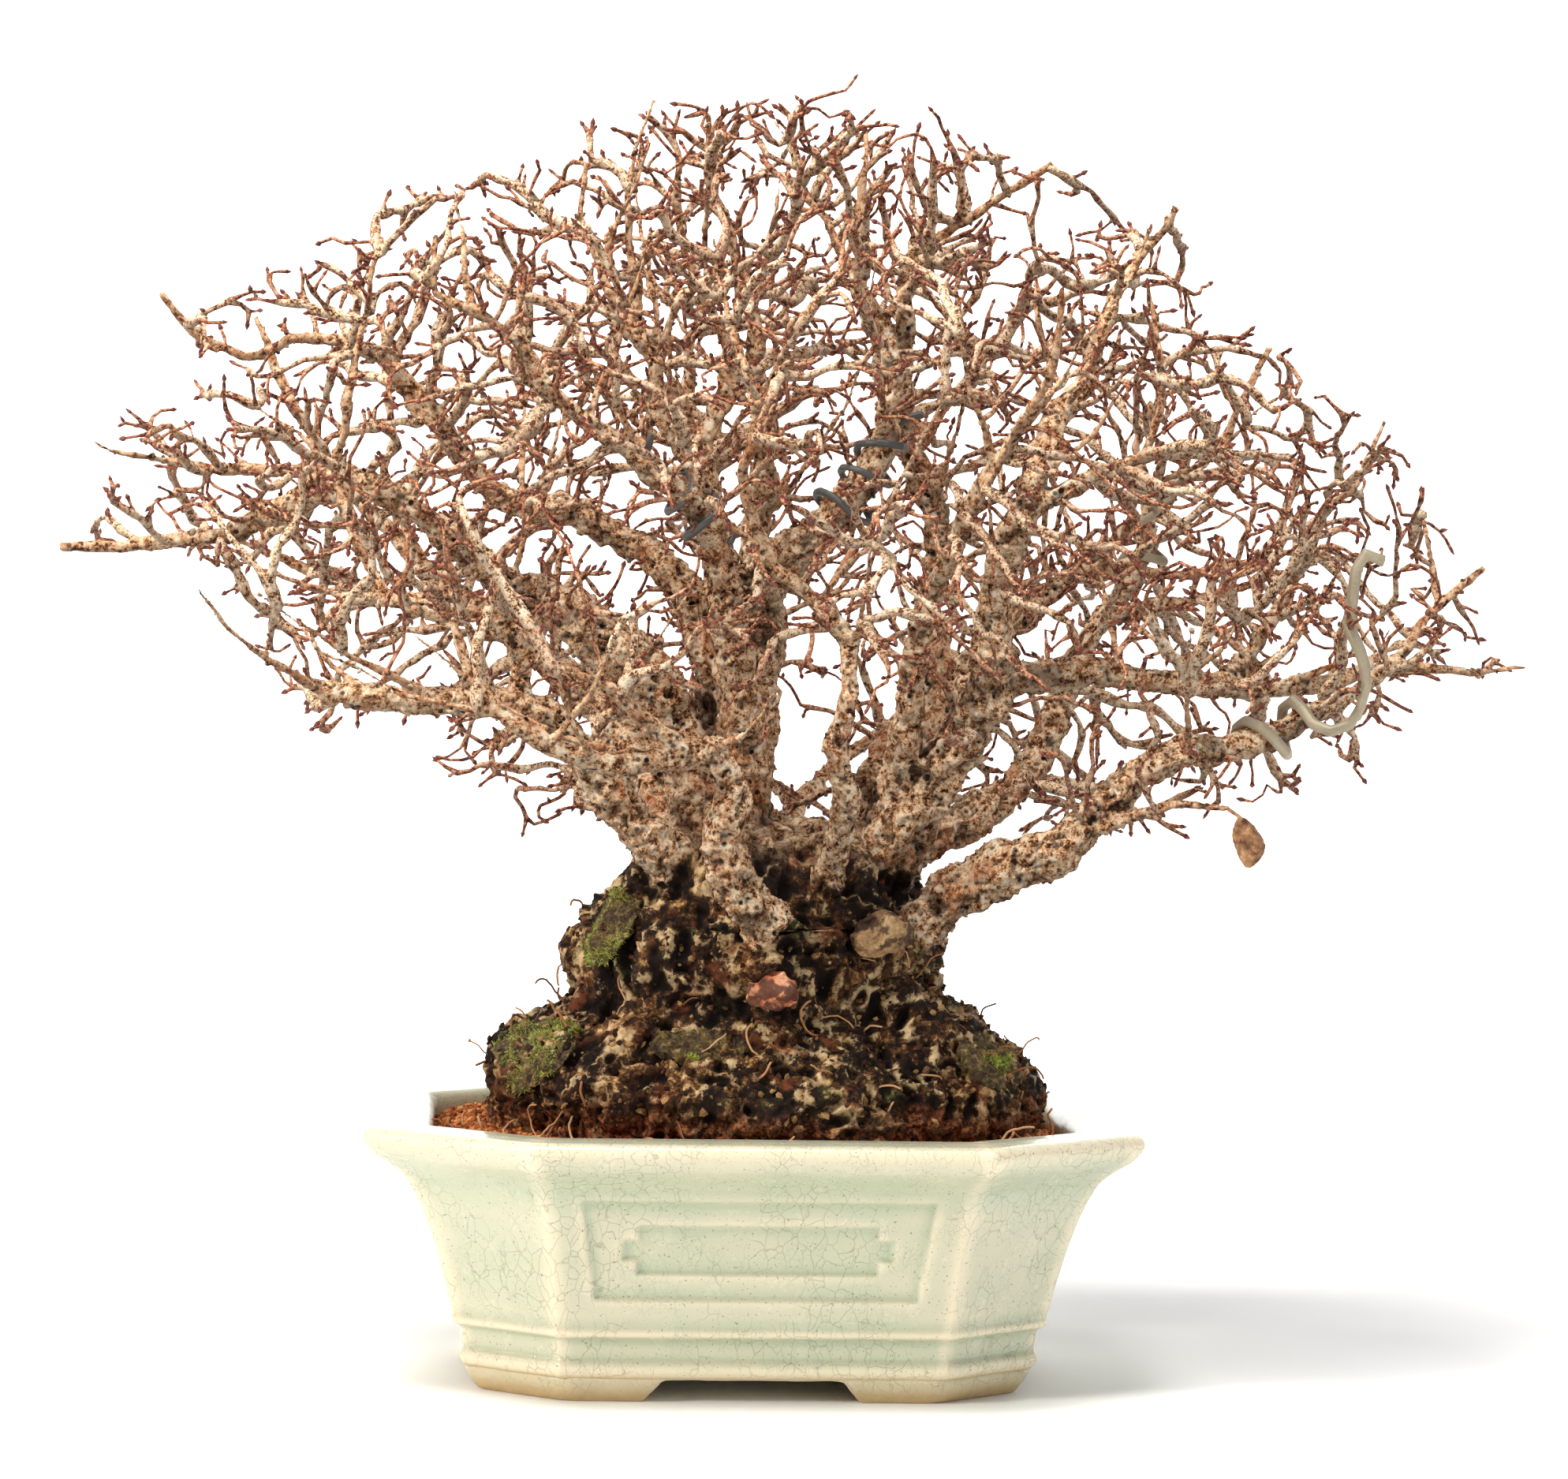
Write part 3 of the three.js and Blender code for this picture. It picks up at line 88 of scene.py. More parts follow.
# %% [markdown]
# ## Light
# Plants are lit like portraits. One big light would be simplest, but bark then looks flat. Here a soft
# light hangs over the tree, a warm key stands to the left and a weak cool fill to the right. The sky is
# dim, so that bark keeps its dark cracks; the white comes from the sweep the pot stands on.

# %% Light
def soft_light(name, place, aim, size, power, colour):
    """A square area light at `place` that faces `aim`."""
    data = bpy.data.lights.new(name, "AREA")
    data.size = size
    data.energy = power
    data.color = colour
    light = bpy.data.objects.new(name, data)
    bpy.context.collection.objects.link(light)
    light.location = place
    light.rotation_euler = (Vector(aim) - Vector(place)).to_track_quat("-Z", "Y").to_euler()


soft_light("overhead", (-0.3, -0.55, 2.1), (0, 0, 0.2), 0.8, 44, (1.0, 0.99, 0.97))
soft_light("key", (-2.2, -1.2, 1.3), (0, 0, 0.2), 0.5, 46, (1.0, 0.95, 0.87))
soft_light("fill", (1.9, -1.7, 0.9), (0, 0, 0.15), 1.4, 13, (0.88, 0.95, 1.0))
world = bpy.data.worlds.new("sky")
world.use_nodes = True
world.node_tree.nodes["Background"].inputs["Color"].default_value = (1, 1, 1, 1)
world.node_tree.nodes["Background"].inputs["Strength"].default_value = 0.15
bpy.context.scene.world = world
bpy.context.scene.view_settings.view_transform = "Standard"
print("lights", len(bpy.data.lights))

# %% [markdown]
# ## Shader maths as expressions
# Materials are node trees, and long formulas are hard to read as nodes. A socket is wrapped in a small
# class, so that `0.5 + 2 * mask` adds the Math nodes by itself. A finish owns one material and makes any
# other node from its type, its settings and what goes into its sockets.

# %% Values
class Value:
    """A number that changes over the surface."""

    def __init__(self, finish, socket):
        self.finish, self.socket = finish, socket

    def combine(self, operation, first, second):
        return self.finish.node("ShaderNodeMath", {"operation": operation}, {0: first, 1: second})

    def __add__(self, other):
        return self.combine("ADD", self, other)

    def __sub__(self, other):
        return self.combine("SUBTRACT", self, other)

    def __mul__(self, other):
        return self.combine("MULTIPLY", self, other)

    def __rsub__(self, other):
        return self.combine("SUBTRACT", other, self)

    __radd__ = __add__
    __rmul__ = __mul__

    def clamp(self):
        return self.finish.node("ShaderNodeClamp", {}, {"Value": self})

    def above(self, low, high):
        """0 where the value is under `low`, 1 over `high`, smooth between."""
        settings = {"interpolation_type": "SMOOTHSTEP"}
        sockets = {"Value": self, "From Min": low, "From Max": high}
        return self.finish.node("ShaderNodeMapRange", settings, sockets)


print("values know", [name for name in vars(Value) if not name.startswith("_")])

# %% [markdown]
# Every finish starts from the object's own coordinates, in metres, so a noise of 4 mm stays 4 mm on any
# piece. `finished` closes the tree: colour and roughness go in directly, the relief goes through a bump.

# %% Finishes
class Finish:
    """One procedural material."""

    def __init__(self, name):
        self.material = bpy.data.materials.new(name)
        self.material.use_nodes = True
        self.tree = self.material.node_tree
        self.tree.nodes.clear()
        self.place = self.node("ShaderNodeTexCoord", {}, {}, "Object")

    def node(self, kind, settings, sockets, output=0):
        """Any node: first its settings, then values or links for its sockets. Returns one output, wrapped."""
        made = self.tree.nodes.new(kind)
        for key, setting in settings.items():
            if key == "stops":
                while len(made.color_ramp.elements) < len(setting):
                    made.color_ramp.elements.new(1)
                for element, (position, colour) in zip(made.color_ramp.elements, setting):
                    element.position, element.color = position, (*colour, 1)
            else:
                setattr(made, key, setting)
        for key, value in sockets.items():
            if isinstance(value, Value):
                self.tree.links.new(value.socket, made.inputs[key])
            elif isinstance(value, tuple) and len(value) == 3 and made.inputs[key].type == "RGBA":
                made.inputs[key].default_value = (*value, 1)
            else:
                made.inputs[key].default_value = value
        return Value(self, made.outputs[output]) if len(made.outputs) else made

    def stretched(self, x, y, z):
        return self.node("ShaderNodeVectorMath", {"operation": "MULTIPLY"}, {0: self.place, 1: (x, y, z)})

    def noise(self, size, detail, rough, twist=0.0):
        """Cloudy noise whose lumps are about `size` metres across."""
        sockets = {"Vector": self.place, "Scale": 1 / size, "Detail": detail, "Roughness": rough,
                   "Distortion": twist}
        return self.node("ShaderNodeTexNoise", {}, sockets)

    def cells(self, size, feature="F1", where=None):
        """How far a place is from the middle of the nearest cell, or from its edge by that feature."""
        sockets = {"Vector": where or self.place, "Scale": 1 / size}
        return self.node("ShaderNodeTexVoronoi", {"feature": feature}, sockets)

    def made(self, attribute):
        """A value that the mesh carries on its points."""
        return self.node("ShaderNodeAttribute", {"attribute_name": attribute}, {}, "Fac")

    def ramp(self, value, stops):
        return self.node("ShaderNodeValToRGB", {"stops": stops}, {"Fac": value})

    def mix(self, factor, first, second):
        """`first` where the factor is 0, `second` where it is 1."""
        return self.node("ShaderNodeMix", {"data_type": "RGBA"}, {0: factor, 6: first, 7: second}, 2)

    def painted_underside_shade(self):
        """1 where the surface looks down, 0 where it looks up: a mask for painted shade."""
        normal = self.node("ShaderNodeNewGeometry", {}, {}, "Normal")
        up = self.node("ShaderNodeSeparateXYZ", {}, {0: normal}, "Z")
        return (0 - up).above(-0.45, 0.8)

    def finished(self, colour, roughness, relief=None, depth=0.001, **constants):
        """Closes the material: colour, roughness, a bump of `depth` metres, and constants by name."""
        sockets = {"Base Color": colour, "Roughness": roughness}
        if relief is not None:
            bump = {"Height": relief, "Distance": depth, "Strength": 1.0}
            sockets["Normal"] = self.node("ShaderNodeBump", {}, bump)
        for key, value in constants.items():
            sockets[key.replace("_", " ")] = value
        surface = self.node("ShaderNodeBsdfPrincipled", {}, sockets)
        self.node("ShaderNodeOutputMaterial", {}, {"Surface": surface})
        print("finish", self.material.name, len(self.tree.nodes), "nodes")
        return self.material


def srgb(*colour):
    """Red, green and blue as on paper, 0 to 255, turned into the linear numbers a shader wants."""
    return tuple((c / 255 / 12.92) if c <= 10 else ((c / 255 + 0.055) / 1.055) ** 2.4 for c in colour)


print("mid grey is", [round(value, 3) for value in srgb(128, 128, 128)], "to a shader")

# %% [markdown]
# ## Mesh helpers
# Wood and stone are grown from the CAD solids: a copy is remeshed into fine even cells, smoothed, and then
# every point is pushed along its normal by noise. A displacement modifier could do that, but numpy's noise
# can be kept on the points as well, so the colour follows it: painted shade in the cracks, pale on the
# ridges.

# %% Noise in numpy
def hashed(cell, salt):
    """A repeatable random number from 0 to 1 for each whole-numbered cell of space."""
    mixed = cell[..., 0] * 73856093 + cell[..., 1] * 19349663 + cell[..., 2] * 83492791 + salt * 2654435
    mixed = (mixed ^ (mixed >> 13)) * 1274126177 & 0xFFFFFFFF
    mixed = (mixed ^ (mixed >> 15)) * 668265263 & 0xFFFFFFFF
    return ((mixed ^ (mixed >> 14)) & 0xFFFF) / 65535


def lumps(points, size, salt=0):
    """Smooth noise from -1 to 1 with lumps about `size` metres across."""
    scaled = points / size + 100.5
    cell = np.floor(scaled).astype(np.int64)
    part = scaled - cell
    part = part * part * (3 - 2 * part)
    total = np.zeros(len(points))
    for corner in itertools.product((0, 1), repeat=3):
        weight = np.prod(np.where(corner, part, 1 - part), axis=1)
        total += weight * hashed(cell + np.array(corner), salt)
    return 2 * total - 1


def crests(points, size, salt=0):
    """Sharp crests and round hollows about `size` metres apart, from -1 to 1."""
    return 1 - 2.6 * np.abs(lumps(points, size, salt))


def plates(points, size, salt=0):
    """How far a point is from a crack between plates `size` metres across: 0 in the crack, to about 1."""
    scaled = points / size + 100.5
    cell = np.floor(scaled).astype(np.int64)
    nearest = np.full(len(points), 9.0)
    second = np.full(len(points), 9.0)
    for step in itertools.product((-1, 0, 1), repeat=3):
        other = cell + np.array(step)
        seed = other + np.stack([hashed(other, salt + axis) for axis in (1, 2, 3)], axis=1)
        away = np.linalg.norm(seed - scaled, axis=1)
        second = np.minimum(second, np.maximum(nearest, away))
        nearest = np.minimum(nearest, away)
    return second - nearest


def soft_step(value, low, high):
    """0 where the value is under `low`, 1 over `high`, smooth between: the numpy twin of `above`."""
    share = np.clip((value - low) / (high - low), 0, 1)
    return share * share * (3 - 2 * share)


def unit(vectors):
    """The vectors, each made one long."""
    return vectors / np.maximum(np.linalg.norm(vectors, axis=-1, keepdims=True), 1e-9)


print("noise at the origin", round(float(lumps(np.zeros((1, 3)), 10 * mm)[0]), 3))

# %% [markdown]
# A piece is a mesh that stands for CAD nodes or adds to them. Each one rides on the root body and says
# which nodes it replaces.

# %% Pieces from points and faces
def piece(name, points, faces, material, slot, replaced=(), smooth=True, **marks):
    """A mesh object in the row frame; `marks` are numbers kept on its points for the shader."""
    mesh = bpy.data.meshes.new(name)
    points = np.asarray(points, dtype=np.float32)
    faces = np.asarray(faces, dtype=np.int32)
    corners = faces.shape[1]
    mesh.vertices.add(len(points))
    mesh.vertices.foreach_set("co", points.ravel())
    mesh.loops.add(faces.size)
    mesh.loops.foreach_set("vertex_index", faces.ravel())
    mesh.polygons.add(len(faces))
    mesh.polygons.foreach_set("loop_start", np.arange(0, faces.size, corners, dtype=np.int32))
    mesh.update(calc_edges=True)
    mesh.polygons.foreach_set("use_smooth", np.full(len(faces), smooth))
    for mark, numbers in marks.items():
        attribute = mesh.attributes.new(mark, "FLOAT", "POINT")
        attribute.data.foreach_set("value", np.asarray(numbers, dtype=np.float32))
    mesh.materials.append(material)
    made = bpy.data.objects.new(name, mesh)
    bpy.context.collection.objects.link(made)
    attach(made, "root")
    if replaced:
        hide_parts(*replaced)
    print(name, len(points), "points", len(faces), "faces")
    return made


print("a piece can replace", len(frame["nodes"]), "CAD nodes")

# %% [markdown]
# The CAD solids are coarse on purpose. Subdividing them would keep their long thin triangles, so a copy is
# rebuilt from small cubes instead, which gives even faces that take fine noise well.

# %% Fine copies of CAD nodes
def copied(nodes):
    """One object that holds copies of the CAD nodes."""
    copies = []
    for node in nodes:
        source = frame["nodes"][node]
        copy = bpy.data.objects.new("copy", source.data.copy())
        copy.matrix_world = source.matrix_world
        bpy.context.collection.objects.link(copy)
        copies.append(copy)
    if len(copies) > 1:
        with bpy.context.temp_override(active_object=copies[0], selected_editable_objects=copies):
            bpy.ops.object.join()
    return copies[0]


def numbers_of(items, name, width, kind=np.float32):
    """One property of every item, as rows of `width` numbers."""
    numbers = np.zeros(len(items) * width, dtype=kind)
    items.foreach_get(name, numbers)
    return numbers.reshape(-1, width)


def cut_level(mesh, level, side):
    """Cuts the mesh at a height, keeps what lies above it (side 1) or below it (side -1), and closes it."""
    shape = bmesh.new()
    shape.from_mesh(mesh)
    bmesh.ops.remove_doubles(shape, verts=shape.verts, dist=0.001 * mm)
    everything = shape.verts[:] + shape.edges[:] + shape.faces[:]
    cut = bmesh.ops.bisect_plane(shape, geom=everything, plane_co=(0, 0, level), plane_no=(0, 0, side),
                                 clear_inner=True)
    rim = [edge for edge in cut["geom_cut"] if isinstance(edge, bmesh.types.BMEdge)]
    bmesh.ops.holes_fill(shape, edges=rim)
    shape.to_mesh(mesh)
    shape.free()


def fine_copy(nodes, cell, rounds, above=None, below=None):
    """Points, quads and normals of CAD nodes, cut level if asked, remeshed at `cell` metres and smoothed."""
    joined = copied(nodes)
    if above is not None:
        cut_level(joined.data, above, 1)
    if below is not None:
        cut_level(joined.data, below, -1)
    remesh = joined.modifiers.new("cells", "REMESH")
    remesh.mode = "VOXEL"
    remesh.voxel_size = cell
    if rounds:
        smooth = joined.modifiers.new("smooth", "SMOOTH")
        smooth.iterations = rounds
    shaped = joined.evaluated_get(bpy.context.evaluated_depsgraph_get())
    mesh = shaped.to_mesh()
    points, normals = numbers_of(mesh.vertices, "co", 3), numbers_of(mesh.vertices, "normal", 3)
    faces = numbers_of(mesh.loops, "vertex_index", 1, np.int32).reshape(-1, 4)
    shaped.to_mesh_clear()
    turned = np.array(joined.matrix_world)
    points = points @ turned[:3, :3].T + turned[:3, 3]
    normals = normals @ turned[:3, :3].T
    bpy.data.objects.remove(joined)
    return points, faces, normals


print("largest CAD node", max(frame["nodes"], key=lambda node: len(frame["nodes"][node].data.polygons)))

# %% [markdown]
# ## Bark
# Old limbs are pale grey-beige, peppered with dark pits. Thinner wood is tan. The root base is nearly black
# in its cracks, with worn tan ridges, a little green, rusty patches and soil at its foot. Shade is painted
# into the cracks and pits, where stems stand close together, and on every underside. A finish for each would
# show a line where two meet, so one finish serves all of it, steered by the marks on the points.

# %% Limb bark
def limb_bark(finish, cloud, tone, girth, shelter):
    """Pale bark with dark flecks, rusty and dusky clouds, and shade where other wood stands near."""
    old = finish.ramp(tone, [
        (0.39, srgb(26, 11, 6)), (0.44, srgb(92, 54, 31)), (0.475, srgb(200, 142, 96)),
        (0.52, srgb(247, 212, 171)), (0.59, srgb(255, 245, 224))])
    young = finish.ramp(tone, [
        (0.39, srgb(42, 16, 9)), (0.44, srgb(122, 70, 42)), (0.49, srgb(220, 166, 122)),
        (0.58, srgb(252, 222, 186))])
    wood = finish.mix(girth.above(2.5, 6.0), young, old)
    wood = finish.mix(cloud.above(0.53, 0.66) * 0.5, wood, srgb(182, 100, 52))
    wood = finish.mix(cloud.above(0.44, 0.36) * 0.6, wood, srgb(66, 36, 20))
    # Painted shade where other wood stands close in front.
    wood = finish.mix(shelter.above(0.05, 0.7) * 0.72, wood, srgb(62, 32, 17))
    return wood


# %% [markdown]
# The root base is painted in layers: shade painted dark into its cracks first, then, as it weathers, worn
# ridges, rust, the soil that clings to its foot, and a green bloom on top.

# %% Root bark
def root_bark(finish, cloud, fleck, pit, hollow):
    """Black-brown bark with worn tan ridges, rust, soil at the foot and a green bloom."""
    old = finish.ramp(0.45 * fleck + 0.3 * cloud + 0.25 * pit, [
        (0.42, srgb(12, 5, 2)), (0.48, srgb(44, 25, 13)), (0.53, srgb(108, 70, 38)),
        (0.58, srgb(190, 144, 90)), (0.68, srgb(244, 216, 164))])
    zone = finish.noise(24 * mm, 4, 0.55, twist=0.8)
    old = finish.mix(zone.above(0.56, 0.46) * 0.8, old, srgb(20, 10, 6))
    # Painted shade: the deeper a point lies in a crack, the nearer to black it is.
    old = finish.mix(hollow.above(0.2, 0.75) * 0.95, old, srgb(14, 7, 4))
    worn = (1 - hollow).above(0.55, 0.95) * finish.noise(9 * mm, 5, 0.7).above(0.51, 0.58)
    ridge = finish.mix(fleck.above(0.4, 0.6), srgb(168, 122, 78), srgb(232, 204, 156))
    old = finish.mix(worn * 0.75, old, ridge)
    rust = finish.noise(13 * mm, 4, 0.6).above(0.58, 0.66)
    old = finish.mix(rust * 0.6 * (1 - hollow), old, srgb(134, 72, 42))
    height = finish.node("ShaderNodeSeparateXYZ", {}, {0: finish.place}, "Z")
    foot = height + 30 * mm * (cloud - 0.5) - 6 * mm * worn
    earth = finish.ramp(pit, [(0.4, srgb(40, 14, 6)), (0.5, srgb(118, 62, 34)), (0.62, srgb(196, 122, 76))])
    old = finish.mix(foot.above(101 * mm, 93 * mm) * 0.8, old, earth)
    green = finish.noise(19 * mm, 5, 0.7).above(0.56, 0.66) * fleck.above(0.42, 0.56)
    return finish.mix(green * 0.5 * (1 - hollow), old, srgb(86, 90, 40))


# %% Bark finish
def bark():
    finish = Finish("bark")
    girth, hollow, root, shelter = (finish.made(mark) for mark in ("girth", "hollow", "root", "shelter"))
    cloud = finish.noise(22 * mm, 5, 0.65)
    fleck = finish.noise(4.5 * mm, 6, 0.72, twist=0.4)
    pit = finish.noise(1.7 * mm, 4, 0.7)
    grit = finish.noise(0.7 * mm, 3, 0.7)
    holes = (1 - finish.cells(3.4 * mm).above(0.16, 0.34)) * finish.noise(9 * mm, 3, 0.6).above(0.42, 0.55)
    tone = 0.45 * fleck + 0.35 * pit + 0.2 * grit
    wood = limb_bark(finish, cloud, tone, girth, shelter)
    # Painted shade in the cracks, together with the bark's own dark pits.
    wood = finish.mix((hollow * 0.85 + holes * 0.8).clamp(), wood, srgb(36, 18, 10))
    colour = finish.mix(root, wood, root_bark(finish, cloud, fleck, pit, hollow))
    # Painted shade on every face that looks down, a little weaker on the root base.
    colour = finish.mix(finish.painted_underside_shade() * (0.62 - 0.2 * root), colour, srgb(30, 14, 8))
    relief = 0.5 * fleck + 0.4 * pit + 0.2 * grit - 0.3 * holes * (1 - root)
    return finish.finished(colour, 0.75 + 0.2 * hollow, relief, 1.5 * mm, Specular_IOR_Level=0.2)


bark_finish = bark()

# %% [markdown]
# A twig darkens as it thins: the stout ones are cream and tan, the youngest red-brown. Dark beads mark old
# bud scars. Shade is painted on the underside, which keeps the crown from turning into one pale haze.

# %% Twig finish
def twig_bark():
    """Tan young wood that turns red-brown toward the tips, with dark bud scars."""
    finish = Finish("twig_bark")
    thick = finish.made("thick")
    fleck = finish.noise(2.6 * mm, 5, 0.7)
    grit = finish.noise(0.7 * mm, 3, 0.6)
    patch = finish.noise(30 * mm, 2, 0.5)
    tone = 0.6 * fleck + 0.4 * grit
    fine = finish.ramp(tone, [(0.4, srgb(34, 10, 7)), (0.455, srgb(104, 45, 29)), (0.51, srgb(184, 112, 76)),
                              (0.6, srgb(240, 188, 146))])
    stout = finish.ramp(tone, [(0.4, srgb(44, 19, 10)), (0.45, srgb(140, 90, 57)),
                               (0.49, srgb(226, 186, 144)), (0.57, srgb(255, 237, 210))])
    colour = finish.mix(thick.above(0.56, 1.25), fine, stout)
    colour = finish.mix(patch.above(0.52, 0.66) * 0.3, colour, srgb(164, 98, 62))
    beads = (1 - finish.cells(3.0 * mm).above(0.14, 0.32)) * finish.noise(11 * mm, 2, 0.5).above(0.4, 0.5)
    colour = finish.mix(beads * 0.75, colour, srgb(46, 20, 13))
    # Painted shade on the underside of every twig.
    colour = finish.mix(finish.painted_underside_shade() * 0.62, colour, srgb(40, 18, 11))
    return finish.finished(colour, 0.65 + 0.15 * grit, tone - 0.3 * beads, 0.8 * mm, Specular_IOR_Level=0.3)


twig_finish = twig_bark()

# %% [markdown]
# ## Wood
# On a live tree the limbs run into the trunk with no seam. Dressing each limb alone would show where it
# meets the next, so all the CAD wood is remeshed as one skin, which closes the hairline gaps, and only then
# parted. Four measures are kept on every point: how thick the wood is there, how near other wood stands in
# front of it, how deep the point lies in a crack, and how much it belongs to the rough root base.

# %% Wood skin
def sway(points):
    """A slow wander of the limbs, growing with height, so that none of them runs dead straight."""
    strength = 2.6 * mm * soft_step(points[:, 2], 195 * mm, 290 * mm)
    wander = [lumps(points, 30 * mm, salt) + 0.6 * lumps(points, 13 * mm, salt) for salt in (11, 12, 13)]
    return np.stack(wander, axis=1) * strength[:, None]


def triangles_of(quads):
    """Each quad as two triangles."""
    return np.concatenate([quads[:, [0, 1, 2]], quads[:, [0, 2, 3]]])


def first_wood(tree, points, headings, start, reach):
    """How far a ray from each point goes before it meets wood, at most `reach` metres."""
    gone = np.full(len(points), reach)
    for index, (point, heading) in enumerate(zip(points.tolist(), headings.tolist())):
        heading = Vector(heading)
        met = tree.ray_cast(Vector(point) + heading * start, heading, reach)[3]
        if met is not None:
            gone[index] = met
    return gone


def evened(values, quads, rounds):
    """The values averaged with those of the neighbouring points, a few times over."""
    neighbours = np.bincount(quads.ravel(), minlength=len(values)) * 2
    for _ in range(rounds):
        total = sum(np.bincount(quads[:, corner], values[quads[:, (corner + step) % 4]], len(values))
                    for corner in range(4) for step in (1, 3))
        values = (values + total / neighbours) / 2
    return values


wood_nodes = sorted(node for node in frame["nodes"] if node == "trunk" or node.startswith("limb_"))
wood_points, wood_quads, wood_normals = fine_copy(wood_nodes, 1.1 * mm, 4, above=80 * mm)
wood_tree = BVHTree.FromPolygons(wood_points.tolist(), wood_quads.tolist())
wood_girth = first_wood(wood_tree, wood_points, -wood_normals, 0.3 * mm, 60 * mm)
# How near other wood stands in front of each point; the bark finish paints shade from it.
shade_reach = 30 * mm
wood_near = first_wood(wood_tree, wood_points, wood_normals, 0.6 * mm, shade_reach)
wood_occlusion_shade = evened(1 - wood_near / shade_reach, wood_quads, 8)
print("wood", len(wood_points), "points, girth", np.round(np.percentile(wood_girth, [5, 50, 95]) / mm, 1))

# %% [markdown]
# The root base carries deep folds and the limbs small cracks and pits. Both reliefs are sums of noises of
# different sizes, and the share of each follows how thick the wood is and how high it stands.

# %% Bark relief
root_share = soft_step(wood_girth, 16 * mm, 34 * mm) * (1 - soft_step(wood_points[:, 2], 176 * mm, 214 * mm))
bent = wood_points + 3.0 * mm * lumps(wood_points, 11 * mm, 5)[:, None]
root_broad = 3.0 * lumps(wood_points, 27 * mm, 1) + 1.6 * crests(bent * np.array([1.3, 1.3, 0.8]), 17 * mm, 2)
root_fine = (2.0 * crests(bent * np.array([1.2, 1.2, 0.8]), 8.5 * mm, 3) + 1.5 * crests(bent, 4.6 * mm, 4)
             + 0.9 * lumps(wood_points, 2.6 * mm, 5))
root_relief = (root_broad + root_fine - 0.6) * mm
limb_crack = plates(wood_points + 1.5 * mm * lumps(wood_points, 6 * mm, 6)[:, None], 5.5 * mm, 4)
pits = soft_step(lumps(wood_points, 2.4 * mm, 7), 0.4, 0.75)
limb_relief = (1.1 * lumps(wood_points, 11 * mm, 8) + 1.2 * lumps(wood_points, 5.2 * mm, 9)
               + 0.6 * crests(wood_points, 3.4 * mm, 10) - 0.5 * (1 - soft_step(limb_crack, 0.0, 0.2))
               - 0.9 * pits) * mm
limb_relief *= np.clip(wood_girth / (11 * mm), 0.25, 1.4)
relief = root_share * root_relief + (1 - root_share) * limb_relief
wood_points = wood_points + wood_normals * relief[:, None]
wood_points = wood_points + sway(wood_points)
wood_hollow = root_share * soft_step(-root_fine - 0.35 * root_broad, -1.6, 2.2)
limb_hollow = (0.8 * pits + 0.3 * (1 - soft_step(limb_crack, 0.0, 0.2))
               + 0.6 * soft_step(-limb_relief, 0.3 * mm, 1.6 * mm))
wood_hollow += (1 - root_share) * soft_step(limb_hollow, 0.15, 1.0)
print("deepest crack", round(relief.min() / mm, 1), "mm, highest ridge", round(relief.max() / mm, 1), "mm")

# %% [markdown]
# The skin is parted face by face: each face goes to the CAD node that lies nearest to it. Every opening
# that the parting leaves is closed inside the wood with a fan, and the shading keeps the normals of the
# whole skin, so no seam shows.

# %% Parting the skin
def smooth_normals(points, faces):
    """A normal for each point, from the triangles round it."""
    a, b, c = (points[faces[:, corner]] for corner in range(3))
    across = np.cross(b - a, c - a)
    total = np.zeros_like(points)
    for corner in range(3):
        np.add.at(total, faces[:, corner], across)
    return total / np.maximum(np.linalg.norm(total, axis=1, keepdims=True), 1e-12)


def nearest_node(points, nodes):
    """For each point, which of the CAD nodes is nearest, as a number."""
    corners, faces, owner = [], [], []
    for number, node in enumerate(nodes):
        mesh = frame["nodes"][node].data
        matrix = frame["nodes"][node].matrix_world
        start = len(corners)
        corners += [matrix @ vertex.co for vertex in mesh.vertices]
        mesh.calc_loop_triangles()
        faces += [[start + index for index in triangle.vertices] for triangle in mesh.loop_triangles]
        owner += [number] * len(mesh.loop_triangles)
    tree = BVHTree.FromPolygons(corners, faces)
    return np.array([owner[tree.find_nearest(point)[2]] for point in points.tolist()])


def closing_fans(faces, points):
    """New middle points and triangles that close every open edge loop of the faces."""
    edges = np.concatenate([faces[:, [0, 1]], faces[:, [1, 2]], faces[:, [2, 0]]])
    key = edges[:, 0].astype(np.int64) * len(points) + edges[:, 1]
    back = edges[:, 1].astype(np.int64) * len(points) + edges[:, 0]
    open_edges = edges[~np.isin(key, back)]
    after = {int(a): int(b) for a, b in open_edges}
    middles, fans = [], []
    while after:
        first, nxt = after.popitem()
        loop = [first, nxt]
        while nxt in after:
            nxt = after.pop(nxt)
            loop.append(nxt)
        middle = len(points) + len(middles)
        middles.append(points[loop].mean(axis=0))
        fans += [[b, a, middle] for a, b in zip(loop, loop[1:])]
    return np.array(middles).reshape(-1, 3), np.array(fans, dtype=int).reshape(-1, 3)


print("the skin has", len(wood_quads), "faces to part")

# %% Trunk and limbs
groups = {
    "mound": ["trunk"],
    "limbs_left": ["limb_left_main", "limb_left_low", "limb_left_upper", "limb_rear_left"],
    "limbs_top": ["limb_upper_left", "limb_top_left", "limb_top_centre_left", "limb_apex_left", "limb_apex",
                  "limb_centre_right"],
    "limbs_right": ["limb_right_low", "limb_right_mid", "limb_right_level", "limb_right_upper"],
    "limbs_rear": ["limb_rear_centre", "limb_rear_right", "limb_rear_low"],
    "limbs_front": ["limb_front_s", "limb_front_crown_right", "limb_front_riser"],
    "stems": ["trunk"],
}
wood_faces = triangles_of(wood_quads)
wood_shading = smooth_normals(wood_points, wood_faces)
group_of = np.array([list(groups).index(next(g for g in groups if node in groups[g])) for node in wood_nodes])
rest_points = wood_points - sway(wood_points)
wood_owner = group_of[nearest_node(rest_points, wood_nodes)]
wood_owner[(wood_owner == 0) & (wood_points[:, 2] > 162 * mm)] = list(groups).index("stems")
wood_pieces = {}
